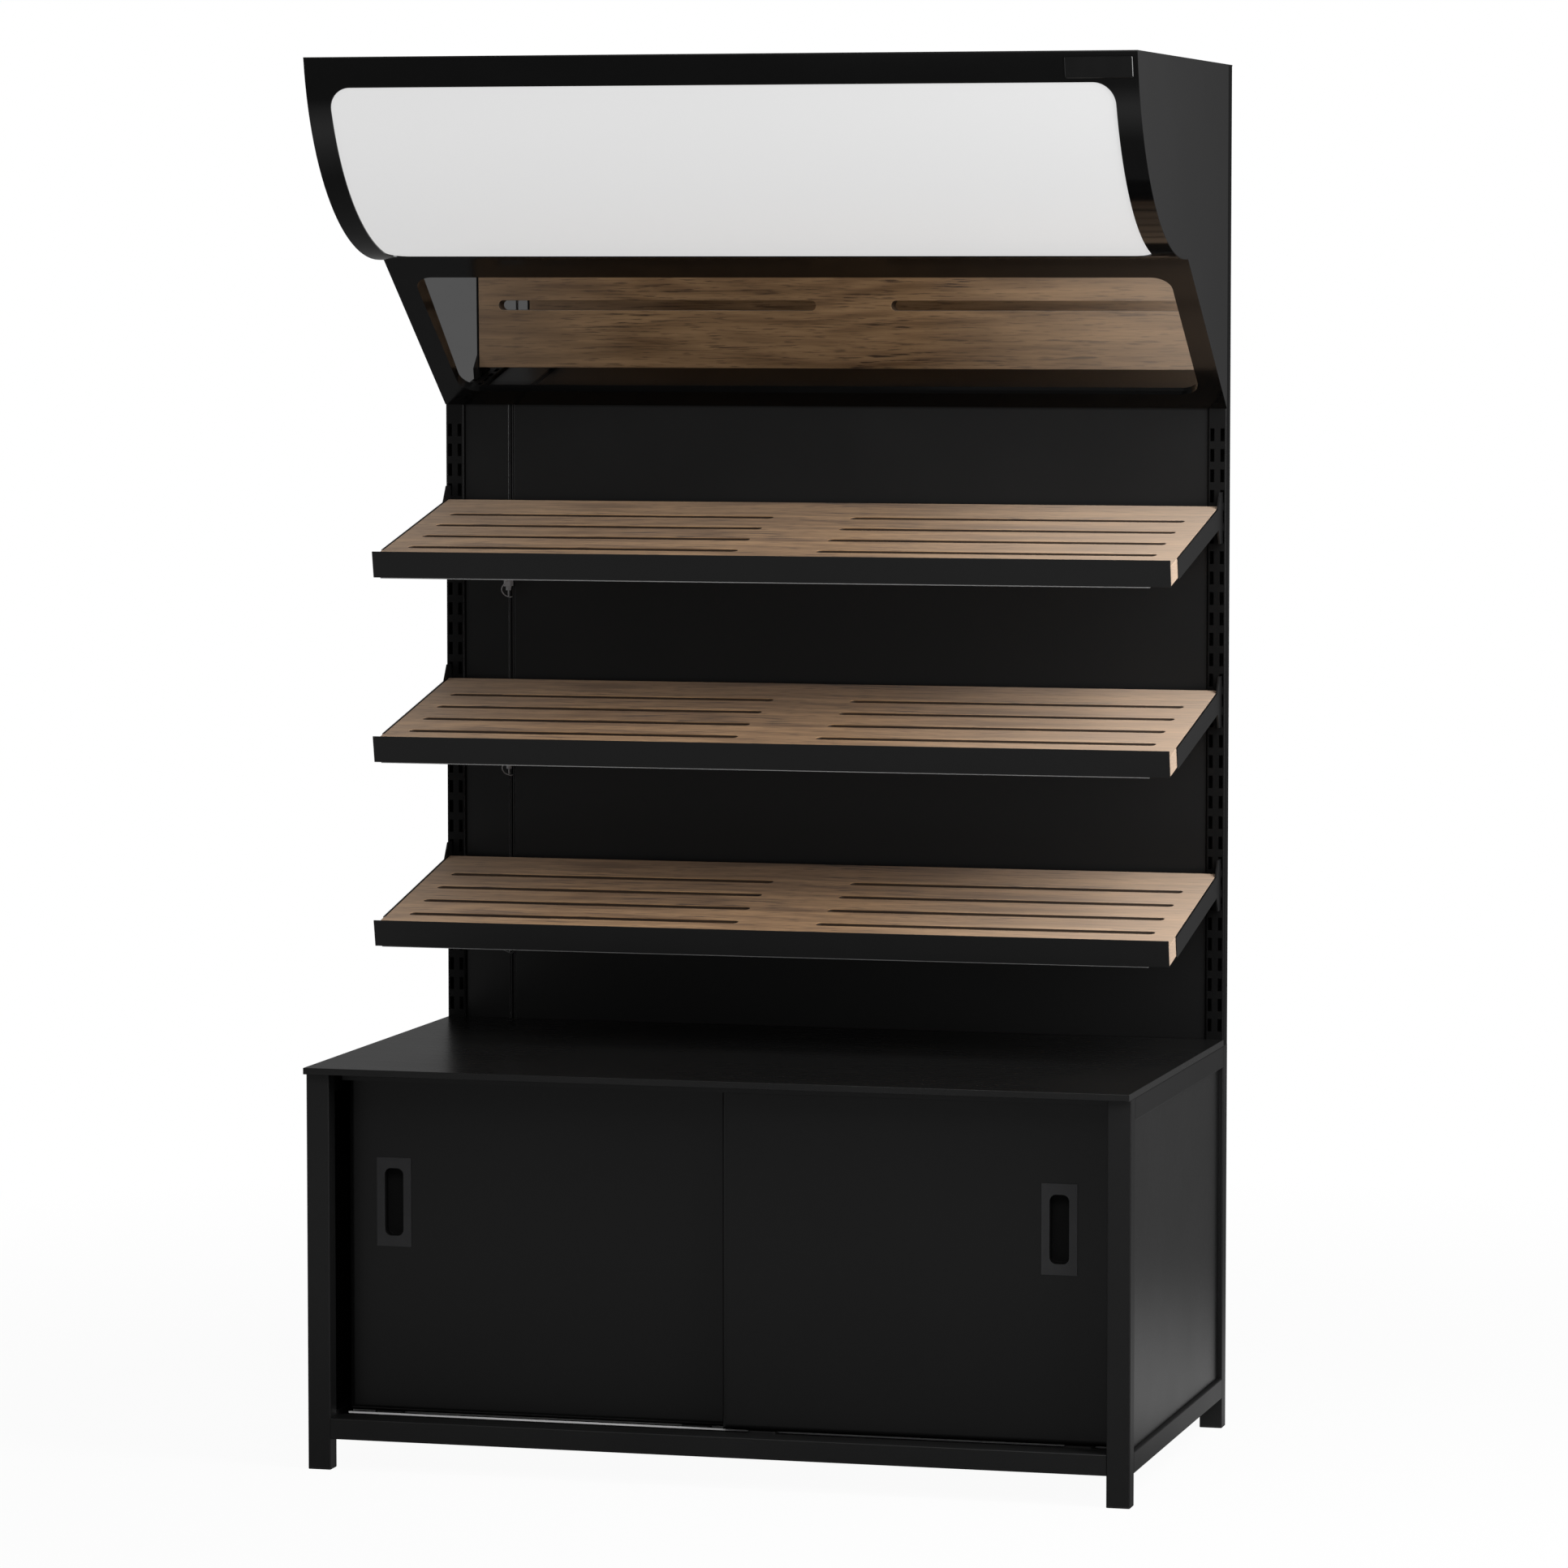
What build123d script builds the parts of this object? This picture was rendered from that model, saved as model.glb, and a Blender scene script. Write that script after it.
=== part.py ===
"""Bread display rack: a cabinet with two sliding doors, two slotted uprights that
carry three tilted oak shelves, and a canopy with a light sign and a slanted mirror.

Millimetres, +Z up, the rack's front faces -Y. The origin is on the floor, under the
middle of the whole rack.
"""
import os
from math import acos, asin, atan2, cos, hypot, pi, radians, sin, tan

from build123d import *

os.makedirs("parts", exist_ok=True)

# Whole rack
frame_width = 1280.0
frame_depth = 735.0
overall_height = 2144.0
sheet = 1.5
shelf_count = 3

# Worktop
worktop_top = 618.0
worktop_thickness = 10.0
worktop_overhang = 15.0
worktop_edge_radius = 0.8

# Legs and rails
leg_width = 36.0
leg_depth = 30.0
tube_corner = 2.0
cap_height = 3.0
cap_plug = 14.0
cap_edge_radius = 1.2
bottom_rail_foot = 47.5
bottom_rail_height = 32.0
top_rail_height = 34.0
side_rail_width = 25.0
front_rail_depth = 43.0

# Folded panels
tray_depth = 15.0
fold_radius = 1.2
side_panel_recess = 7.0
cabinet_back_recess = 5.0
floor_drop = 13.5

# Uprights
upright_side = 30.0
upright_wall = 2.0
upright_corner = 3.0
slot_width = 6.5
slot_height = 20.0
slot_pitch = 32.0
slot_foot_margin = 22.5
slot_column_spacing = 16.0

# Back panels and power rail
back_panel_recess = 5.5
back_panel_gap = 1.0
narrow_panel_width = 73.4
power_rail_width = 6.0
power_rail_depth = 13.5
power_rail_gap = 1.2
power_rail_slot = 2.4
power_rail_slot_depth = 9.0

# Doors and their tracks
door_overlap = 14.0
left_door_inset = 8.0
right_door_gap = 1.0
door_floor_gap = 16.0
door_top_gap = 6.0
door_thickness = 20.0
door_edge_radius = 9.0
door_sheet = 1.2
door_to_door_gap = 3.0
front_door_setback = 45.0
track_end_gap = 7.0
track_rib = 1.4
track_rib_height = 13.9
top_track_rib_height = 14.0
glide_length = 44.0
glide_inset = 62.0
glide_play = 0.8
glide_floor_gap = 0.2
glide_corner = 6.0

# Finger pulls
pull_side_margin = 81.5
pull_top_margin = 196.0
pull_width = 54.6
pull_height = 136.7
pull_proud = 1.2
pull_recess_width = 30.0
pull_recess_height = 104.0
pull_recess_depth = 16.0
pull_recess_corner = 10.0
pull_floor_radius = 2.0
pull_hole_gap = 0.3

# Shelves
shelf_tilt = 11.5
lowest_hook_row = 8
rows_above_top_shelf = 4
hooks_per_bracket = 3
board_depth = 389.1
board_thickness = 30.0
board_rear_gap = 16.4
board_rear_drop = 15.2
board_front_step = 50.0
board_side_gap = 1.0
board_edge_radius = 0.8
shelf_side_inset = 7.5
crumb_slot_width = 16.0
crumb_slot_rows = 4
crumb_slot_pitch = 72.5
crumb_slot_rear_margin = 101.0
crumb_slot_inner_x = 62.5
crumb_slot_side_margin = 36.0

# Shelf front strip
strip_thickness = 2.0
strip_lip = 9.5
strip_below = 2.0
strip_edge_radius = 0.5

# Shelf brackets
bracket_sheet = 2.5
bracket_flange = 25.0
bracket_flange_gap = 17.1
arm_foot_inset = 23.4
bracket_plate_above = 6.6
bracket_plate_top_depth = 20.0
bracket_plate_foot_depth = 21.5
bracket_shoulder_depth = 37.0
bracket_face_gap = 0.3
hook_rest_gap = 0.3
hook_neck_height = 9.0
hook_tongue_drop = 8.0
hook_tongue_depth = 3.6
hook_wall_gap = 0.4

# Shelf light
light_bar_width = 12.5
light_bar_height = 4.3
light_bar_wall = 1.0
light_bar_front_gap = 2.0
light_bar_left_margin = 10.0
light_bar_right_margin = 33.3
light_lens_thickness = 1.6
light_lens_length = 225.0
light_lens_gap = 0.6
light_lens_play = 0.1

# Adapter and leads of the shelf light
adapter_width = 12.0
adapter_depth = 16.0
adapter_height = 58.0
adapter_below_hooks = 154.6
adapter_panel_gap = 1.0
adapter_corner = 2.0
adapter_x_offset = -2.5
blade_thickness = 1.2
blade_height = 30.0
blade_reach = 7.5
jack_radius = 4.2
jack_height = 6.5
pin_radius = 1.2
pin_height = 9.0
lead_diameter = 4.0
lead_board_gap = 0.3
lead_side_margin = 57.5
lead_turn_depth = 47.1
lead_end_gap = 0.05
tail_diameter = 1.8
arc_share = 0.45

# Canopy
canopy_sheet = 2.0
canopy_radius = 361.3
canopy_rise = 303.0
canopy_knee_step = 22.9
slant_run = 312.8
slant_fall = 232.0
cheek_flange = 28.0
cheek_flange_foot = 60.0
window_side_border = 36.0
sign_window_top = 46.0
sign_window_foot_border = 70.8
sign_window_corner = 33.0
sign_panel_thickness = 3.0
sign_panel_lap = 14.0
mirror_top_border = 46.0
mirror_foot_border = 38.0
mirror_window_corner = 30.0
mirror_lip = 12.0
mirror_turn = 2.0
mirror_thickness = 4.0
mirror_lap = 12.0
badge_width = 101.5
badge_height = 32.0
badge_thickness = 1.4
badge_corner = 2.5
badge_bevel = 0.7
badge_side_margin = 58.4
badge_top_margin = 24.3

# Lights, supply and gland inside the canopy
batten_side_gap = 60.0
batten_width = 24.0
batten_height = 20.0
batten_taper = 12.0
batten_rear_setback = 92.2
batten_spacing = 180.0
supply_width = 220.0
supply_height = 60.0
supply_depth = 35.0
supply_side_margin = 340.0
supply_top_margin = 244.0
supply_corner = 3.0
gland_side_margin = 190.0
gland_top_margin = 364.0
gland_bore_radius = 3.5
gland_thread_radius = 8.0
gland_hole_gap = 0.2
gland_collar_radius = 11.0
gland_collar_length = 9.0
gland_dome_radius = 9.0
gland_dome_length = 11.0
gland_nut_length = 5.0
gland_tail_length = 10.0
gland_edge_radius = 1.5

# Directions and sides
FRONT = (0, -1, 0)
BACK = (0, 1, 0)
RIGHT = (1, 0, 0)
SIDES = ((-1, "left"), (1, "right"))
flatness = 1e-6

# Planes that several pieces share
half_width = frame_width / 2
rear_y = (frame_depth + worktop_overhang) / 2
front_y = rear_y - frame_depth
worktop_front_y = front_y - worktop_overhang
upright_front_y = rear_y - upright_side
worktop_foot = worktop_top - worktop_thickness
bottom_rail_top = bottom_rail_foot + bottom_rail_height
top_rail_foot = worktop_foot - top_rail_height
leg_inner_x = half_width - leg_width
rail_inner_x = half_width - side_rail_width
front_leg_rear_y = front_y + leg_depth
rear_leg_front_y = rear_y - leg_depth
front_rail_rear_y = front_y + front_rail_depth
upright_inner_x = half_width - upright_side
upright_mid_x = half_width - upright_side / 2
panel_face_y = upright_front_y + back_panel_recess
canopy_top_foot = overall_height - canopy_sheet
canopy_knee_y = upright_front_y - slant_run
canopy_knee_z = overall_height - canopy_rise
canopy_foot_z = canopy_knee_z - slant_fall
floor_top = bottom_rail_top - floor_drop
slot_first_z = worktop_top + slot_foot_margin
slot_rows = int((canopy_foot_z - slot_first_z) / slot_pitch)
power_rail_half = power_rail_width / 2 + power_rail_gap
panel_edge_x = upright_inner_x - back_panel_gap
power_rail_x = narrow_panel_width + power_rail_half - panel_edge_x


def finish(piece, name):
    """Name a finished piece and write its file."""
    piece.part.label = name
    export_step(piece.part, f"parts/{name}.step")


def facing(direction, x, y, z):
    """An upright plane at a point that looks along a level direction."""
    across = Vector(0, 0, 1).cross(Vector(*direction))
    return Plane(origin=(x, y, z), x_dir=across, z_dir=direction)


def on_plane(edge, plane):
    """True where an edge lies in a plane."""
    return abs(plane.to_local_coords(edge.center()).Z) < flatness


def box_tube(plane, width, height, length, wall=sheet, corner=tube_corner):
    """A rectangular tube that runs along the plane's normal, centred on its origin."""
    with BuildPart() as tube:
        with BuildSketch(plane):
            RectangleRounded(width, height, corner)
            RectangleRounded(width - 2 * wall, height - 2 * wall, corner - wall / 2, mode=Mode.SUBTRACT)
        extrude(amount=length)
    return tube


def folded_tray(face, width, height):
    """A sheet-metal tray: its face on the plane, four flanges folded back behind it."""
    with BuildPart() as tray:
        with BuildSketch(face):
            Rectangle(width, height)
        extrude(amount=-tray_depth)
        fillet(tray.edges().filter_by(lambda edge: on_plane(edge, face)), fold_radius)
        with BuildSketch(face.offset(-sheet)):
            Rectangle(width - 2 * sheet, height - 2 * sheet)
        extrude(amount=sheet - tray_depth, mode=Mode.SUBTRACT)
    return tray


def rail_across(name, middle_y, middle_z, depth, height):
    """A rail between the left and the right leg."""
    length = 2 * leg_inner_x
    finish(box_tube(facing(RIGHT, -leg_inner_x, middle_y, middle_z), depth, height, length), name)


def rail_along_side(name, side, middle_z, height):
    """A rail from the front leg to the rear leg of one side."""
    middle_x = side * (half_width - side_rail_width / 2)
    start = facing(BACK, middle_x, front_leg_rear_y, middle_z)
    finish(box_tube(start, side_rail_width, height, rear_leg_front_y - front_leg_rear_y), name)


# Legs and their end caps
for side, side_name in SIDES:
    leg_x = side * (half_width - leg_width / 2)
    for leg_y, end_name in ((front_y + leg_depth / 2, "front"), (rear_y - leg_depth / 2, "rear")):
        leg = box_tube(Plane((leg_x, leg_y, cap_height)), leg_width, leg_depth, worktop_foot - cap_height)
        finish(leg, f"leg_{end_name}_{side_name}")

with BuildPart() as leg_caps:
    leg_places = GridLocations(frame_width - leg_width, frame_depth - leg_depth, 2, 2)
    with BuildSketch(Plane((0, front_y + frame_depth / 2, 0))):
        with leg_places:
            RectangleRounded(leg_width, leg_depth, tube_corner)
    extrude(amount=cap_height)
    fillet(leg_caps.edges().group_by(Axis.Z)[0], cap_edge_radius)
    with BuildSketch(Plane((0, front_y + frame_depth / 2, cap_height))):
        with leg_places:
            RectangleRounded(leg_width - 2 * sheet, leg_depth - 2 * sheet, tube_corner - sheet / 2)
    extrude(amount=cap_plug)
finish(leg_caps, "leg_caps")

# Rails of the cabinet
bottom_rail_middle = bottom_rail_foot + bottom_rail_height / 2
top_rail_middle = top_rail_foot + top_rail_height / 2
front_rail_y = front_y + front_rail_depth / 2
rear_rail_y = rear_y - leg_depth / 2
rail_across("rail_front_bottom", front_rail_y, bottom_rail_middle, front_rail_depth, bottom_rail_height)
rail_across("rail_rear_bottom", rear_rail_y, bottom_rail_middle, leg_depth, bottom_rail_height)
rail_across("rail_rear_top", rear_rail_y, top_rail_middle, leg_depth, top_rail_height)
for side, side_name in SIDES:
    rail_along_side(f"rail_{side_name}_bottom", side, bottom_rail_middle, bottom_rail_height)
    rail_along_side(f"rail_{side_name}_top", side, top_rail_middle, top_rail_height)

# Panels that close the cabinet
panel_height = top_rail_foot - bottom_rail_top
panel_middle_z = bottom_rail_top + panel_height / 2
side_panel_length = rear_leg_front_y - front_leg_rear_y
side_panel_middle_y = front_leg_rear_y + side_panel_length / 2
for side, side_name in SIDES:
    outward = (side, 0, 0)
    side_panel_x = side * (half_width - side_panel_recess)
    side_face = facing(outward, side_panel_x, side_panel_middle_y, panel_middle_z)
    finish(folded_tray(side_face, side_panel_length, panel_height), f"side_panel_{side_name}")

back_face = facing(BACK, 0, rear_y - cabinet_back_recess, panel_middle_z)
finish(folded_tray(back_face, 2 * leg_inner_x, panel_height), "cabinet_back")

floor_depth = rear_leg_front_y - front_rail_rear_y
floor_face = Plane((0, front_rail_rear_y + floor_depth / 2, floor_top))
finish(folded_tray(floor_face, 2 * rail_inner_x, floor_depth), "cabinet_floor")

with BuildPart() as worktop:
    worktop_depth = upright_front_y - worktop_front_y
    with BuildSketch(Plane((0, worktop_front_y + worktop_depth / 2, worktop_foot))):
        Rectangle(frame_width, worktop_depth)
    extrude(amount=worktop_thickness)
    fillet(worktop.edges(), worktop_edge_radius)
finish(worktop, "worktop")

# Door tracks: three ribs and two channels on one base
door_pitch = door_thickness + door_to_door_gap
track_channel = door_pitch - track_rib
track_depth = 2 * door_pitch + track_rib
track_half_length = leg_inner_x - track_end_gap


def door_track(name, base_z, rib_height, grow):
    """A double channel behind the front rail, its ribs growing up or down from the base."""
    with BuildPart() as track:
        with BuildSketch(facing(RIGHT, -track_half_length, front_rail_rear_y, base_z)):
            edge = Align.MIN if grow > 0 else Align.MAX
            Rectangle(track_depth, track_rib, align=(Align.MIN, edge))
            with Locations(*[(number * door_pitch, 0) for number in range(3)]):
                Rectangle(track_rib, rib_height, align=(Align.MIN, edge))
        extrude(amount=2 * track_half_length)
    finish(track, name)


door_track("track_bottom", floor_top, track_rib_height, 1)
door_track("track_top", worktop_foot, top_track_rib_height, -1)

# Sliding doors with their pulls and glides
door_foot = floor_top + door_floor_gap
door_top = worktop_foot - door_top_gap
door_height = door_top - door_foot
front_door_y = front_y + front_door_setback
left_door_x = left_door_inset - leg_inner_x
right_door_end = rail_inner_x - right_door_gap
door_width = (right_door_end - left_door_x + door_overlap) / 2
right_door_x = right_door_end - door_width
pull_x = leg_inner_x - pull_side_margin
pull_z = door_top - pull_top_margin


def door_panel(left_x, face_y):
    """A folded door, open at the back, with a hole for the cup of its pull."""
    face = facing(FRONT, left_x + door_width / 2, face_y, door_foot + door_height / 2)
    cup_face = facing(FRONT, pull_side(left_x) * pull_x, face_y, pull_z)
    with BuildPart() as panel:
        with BuildSketch(face):
            Rectangle(door_width, door_height)
        extrude(amount=-door_thickness)
        fillet(panel.edges().filter_by(lambda edge: on_plane(edge, face)), door_edge_radius)
        offset(amount=-door_sheet, openings=panel.faces().sort_by(Axis.Y)[-1])
        with BuildSketch(cup_face):
            cup_corner = pull_recess_corner + door_sheet + pull_hole_gap
            cup_rim = 2 * (door_sheet + pull_hole_gap)
            RectangleRounded(pull_recess_width + cup_rim, pull_recess_height + cup_rim, cup_corner)
        extrude(amount=-2 * door_sheet, mode=Mode.SUBTRACT)
    return panel


def pull_side(left_x):
    """The side of the rack that a door's pull is on: the door's outer side."""
    return -1 if left_x < 0 else 1


def finger_pull(left_x, face_y):
    """A square flange on the door's face and a cup behind it."""
    face = facing(FRONT, pull_side(left_x) * pull_x, face_y, pull_z)
    with BuildPart() as pull:
        with BuildSketch(face):
            Rectangle(pull_width, pull_height)
        extrude(amount=pull_proud)
        with BuildSketch(face):
            cup_corner = pull_recess_corner + door_sheet
            cup_rim = 2 * door_sheet
            RectangleRounded(pull_recess_width + cup_rim, pull_recess_height + cup_rim, cup_corner)
        extrude(amount=-pull_recess_depth - door_sheet)
        with BuildSketch(face.offset(pull_proud)):
            RectangleRounded(pull_recess_width, pull_recess_height, pull_recess_corner)
        extrude(amount=-pull_recess_depth - pull_proud, mode=Mode.SUBTRACT)
        cup_floor = face.offset(-pull_recess_depth)
        fillet(pull.edges().filter_by(lambda edge: on_plane(edge, cup_floor)), pull_floor_radius)
    return pull


def door_glides(left_x, channel_number):
    """Two shoes under a door that run in one channel of the bottom track."""
    channel_middle = front_rail_rear_y + channel_number * door_pitch + track_rib + track_channel / 2
    glide_foot = floor_top + track_rib + glide_floor_gap
    glide_spacing = door_width - 2 * glide_inset
    with BuildPart() as glides:
        with BuildSketch(Plane((left_x + door_width / 2, channel_middle, glide_foot))):
            with GridLocations(glide_spacing, 0, 2, 1):
                RectangleRounded(glide_length, track_channel - 2 * glide_play, glide_corner)
        extrude(amount=door_foot - glide_foot)
    return glides


for side_name, left_x, channel_number in (("right", right_door_x, 0), ("left", left_door_x, 1)):
    door_y = front_door_y + channel_number * door_pitch
    finish(door_panel(left_x, door_y), f"door_{side_name}")
    finish(finger_pull(left_x, door_y), f"pull_{side_name}")
    finish(door_glides(left_x, channel_number), f"glides_{side_name}")

# Slotted uprights
slot_middle_z = slot_first_z + (slot_rows - 1) * slot_pitch / 2
upright_length = canopy_top_foot - worktop_foot
for side, side_name in SIDES:
    foot = Plane((side * upright_mid_x, rear_y - upright_side / 2, worktop_foot))
    with BuildPart() as upright:
        add(box_tube(foot, upright_side, upright_side, upright_length, upright_wall, upright_corner).part)
        with BuildSketch(facing(FRONT, side * upright_mid_x, upright_front_y, slot_middle_z)):
            with GridLocations(slot_column_spacing, slot_pitch, 2, slot_rows):
                Rectangle(slot_width, slot_height)
        extrude(amount=-2 * upright_wall, mode=Mode.SUBTRACT)
    finish(upright, f"upright_{side_name}")

# Back panels and the power rail between them
rear_height = canopy_top_foot - worktop_foot
rear_middle_z = worktop_foot + rear_height / 2
gland_x = gland_side_margin - half_width
gland_z = overall_height - gland_top_margin


def back_panel_tray(left_x, right_x):
    """A tray between two heights of the back, from one x to another."""
    face = facing(FRONT, (left_x + right_x) / 2, panel_face_y, rear_middle_z)
    return folded_tray(face, right_x - left_x, rear_height)


with BuildPart() as back_panel:
    add(back_panel_tray(power_rail_x + power_rail_half, panel_edge_x).part)
    with BuildSketch(facing(FRONT, gland_x, panel_face_y, gland_z)):
        Circle(gland_thread_radius + gland_hole_gap)
    extrude(amount=-2 * sheet, mode=Mode.SUBTRACT)
finish(back_panel, "back_panel")
finish(back_panel_tray(-panel_edge_x, power_rail_x - power_rail_half), "back_panel_narrow")

with BuildPart() as power_rail:
    rail_face = facing(FRONT, power_rail_x, panel_face_y, rear_middle_z)
    with BuildSketch(rail_face):
        Rectangle(power_rail_width, rear_height)
    extrude(amount=-power_rail_depth)
    with BuildSketch(rail_face):
        Rectangle(power_rail_slot, rear_height)
    extrude(amount=-power_rail_slot_depth, mode=Mode.SUBTRACT)
finish(power_rail, "power_rail")

# Shelves
tilt = radians(shelf_tilt)
board_rear_y = upright_front_y - board_rear_gap
shelf_half_width = half_width - shelf_side_inset
bracket_middle_x = upright_mid_x + slot_column_spacing / 2
bracket_inner_x = bracket_middle_x - bracket_sheet / 2
arm_length = board_depth - board_front_step
plate_rear_y = upright_front_y - bracket_face_gap


def slope_point(rear_z, down, above):
    """A (y, z) point by its distance down a shelf's slope and above its board."""
    y = board_rear_y - down * cos(tilt) - above * sin(tilt)
    z = rear_z - down * sin(tilt) + above * cos(tilt)
    return (y, z)


def board_plane(rear_z, above=0.0):
    """A shelf's plane, its own y axis running up the slope to the board's rear edge."""
    y, z = slope_point(rear_z, 0, above)
    return Plane(origin=(0, y, z), x_dir=(1, 0, 0), z_dir=(0, -sin(tilt), cos(tilt)))


def shelf_board(rear_z):
    """An oak board with crumb slots, a little narrower where the brackets hold it."""
    top = board_plane(rear_z)
    with BuildPart() as board:
        with BuildSketch(top):
            with Locations((0, -board_depth)):
                Rectangle(2 * shelf_half_width, board_front_step, align=(Align.CENTER, Align.MIN))
            with Locations((0, 0)):
                rear_width = 2 * (bracket_inner_x - board_side_gap)
                Rectangle(rear_width, arm_length, align=(Align.CENTER, Align.MAX))
            slot_length = shelf_half_width - crumb_slot_side_margin - crumb_slot_inner_x
            slot_spacing = 2 * crumb_slot_inner_x + slot_length
            slots_down = crumb_slot_rear_margin + crumb_slot_pitch * (crumb_slot_rows - 1) / 2
            with Locations((0, -slots_down)):
                with GridLocations(slot_spacing, crumb_slot_pitch, 2, crumb_slot_rows):
                    SlotOverall(slot_length, crumb_slot_width, mode=Mode.SUBTRACT)
        extrude(amount=-board_thickness)
        fillet(board.edges().filter_by(lambda edge: on_plane(edge, top)), board_edge_radius)
    return board


def shelf_strip(rear_z):
    """A metal strip on the board's front edge, proud of the board as a lip."""
    with BuildPart() as strip:
        with BuildSketch(board_plane(rear_z, strip_lip)):
            with Locations((0, -board_depth)):
                Rectangle(2 * shelf_half_width, strip_thickness, align=(Align.CENTER, Align.MAX))
        extrude(amount=-(strip_lip + board_thickness + strip_below))
        fillet(strip.edges(), strip_edge_radius)
    return strip


def shelf_bracket(rear_z, side):
    """A folded bracket: arm beside the board, flange under it, hooks in the upright."""
    top_slot_z = rear_z + board_rear_drop
    hook_feet = [top_slot_z - number * slot_pitch - slot_height / 2 + hook_rest_gap
                 for number in range(hooks_per_bracket)]
    arm_foot = -(board_thickness + bracket_sheet)
    shoulder_y = upright_front_y - bracket_shoulder_depth
    outline = [
        slope_point(rear_z, arm_length, 0),
        (shoulder_y, rear_z - (board_rear_y - shoulder_y) * tan(tilt)),
        (upright_front_y - bracket_plate_top_depth, top_slot_z + bracket_plate_above),
        (plate_rear_y, top_slot_z + bracket_plate_above),
        (plate_rear_y, hook_feet[-1]),
        (upright_front_y - bracket_plate_foot_depth, hook_feet[-1]),
        slope_point(rear_z, arm_foot_inset, arm_foot),
        slope_point(rear_z, arm_length, arm_foot),
    ]
    tongue_y = upright_front_y + upright_wall + hook_wall_gap
    with BuildPart() as bracket:
        with BuildSketch(Plane.YZ.offset(side * bracket_middle_x)):
            with BuildLine():
                Polyline(*outline, close=True)
            make_face()
            for hook_foot in hook_feet:
                with Locations((plate_rear_y, hook_foot)):
                    neck_length = tongue_y + hook_tongue_depth - plate_rear_y
                    Rectangle(neck_length, hook_neck_height, align=(Align.MIN, Align.MIN))
                with Locations((tongue_y, hook_foot)):
                    Rectangle(hook_tongue_depth, hook_tongue_drop, align=(Align.MIN, Align.MAX))
        extrude(amount=bracket_sheet / 2, both=True)
        with BuildSketch(board_plane(rear_z, -board_thickness)):
            with Locations((side * (bracket_inner_x - bracket_flange / 2), -arm_length)):
                Rectangle(bracket_flange, arm_length - bracket_flange_gap, align=(Align.CENTER, Align.MIN))
        extrude(amount=-bracket_sheet)
    return bracket


def light_bar(rear_z):
    """A slim channel under the board's front edge with a row of lenses in its mouth."""
    left_x = -(shelf_half_width - light_bar_left_margin)
    right_x = shelf_half_width - light_bar_right_margin
    length = right_x - left_x
    front_down = board_depth - light_bar_front_gap
    inner_width = light_bar_width - 2 * light_bar_wall
    with BuildPart() as bar:
        with BuildSketch(board_plane(rear_z, -board_thickness)):
            with Locations((left_x, -front_down)):
                Rectangle(length, light_bar_width, align=(Align.MIN, Align.MIN))
        extrude(amount=-light_bar_height)
        with BuildSketch(board_plane(rear_z, -board_thickness - light_bar_wall)):
            with Locations((left_x + light_bar_wall, -front_down + light_bar_wall)):
                Rectangle(length - 2 * light_bar_wall, inner_width, align=(Align.MIN, Align.MIN))
        extrude(amount=light_bar_wall - light_bar_height, mode=Mode.SUBTRACT)
        lens_left = left_x + light_bar_wall + light_lens_gap
        lens_right = right_x - light_bar_wall - light_lens_gap
        lens_y = -front_down + light_bar_width / 2
        with BuildSketch(board_plane(rear_z, -board_thickness - light_bar_height)):
            while lens_left < lens_right:
                lens_length = min(light_lens_length, lens_right - lens_left)
                with Locations((lens_left, lens_y)):
                    lens_width = inner_width - 2 * light_lens_play
                    Rectangle(lens_length, lens_width, align=(Align.MIN, Align.CENTER))
                lens_left += light_lens_length + light_lens_gap
        extrude(amount=light_lens_thickness)
    return bar


def corner_radii(points):
    """The radius at each corner of a lead, as large as its two runs allow."""
    radii = []
    for before, corner, after in zip(points, points[1:], points[2:]):
        run_in = Vector(*corner) - Vector(*before)
        run_out = Vector(*after) - Vector(*corner)
        half_turn = radians(run_in.get_angle(run_out)) / 2
        radii.append(arc_share * min(run_in.length, run_out.length) / tan(half_turn))
    return radii


def lead(points, diameter):
    """A lead along straight runs joined by tangent arcs."""
    radii = corner_radii(points)
    with BuildPart() as tube:
        with BuildLine() as route:
            FilletPolyline(*points, radius=radii)
        path = route.wire()
        with BuildSketch(Plane(origin=path @ 0, z_dir=path % 0)):
            Circle(diameter / 2)
        sweep(path=path)
    expected = pi * diameter ** 2 / 4 * path.length
    print("lead radii", [round(radius, 1) for radius in radii], "length", round(path.length, 1),
          "volume over section times length", round(tube.part.volume / expected, 4))
    return tube


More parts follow.
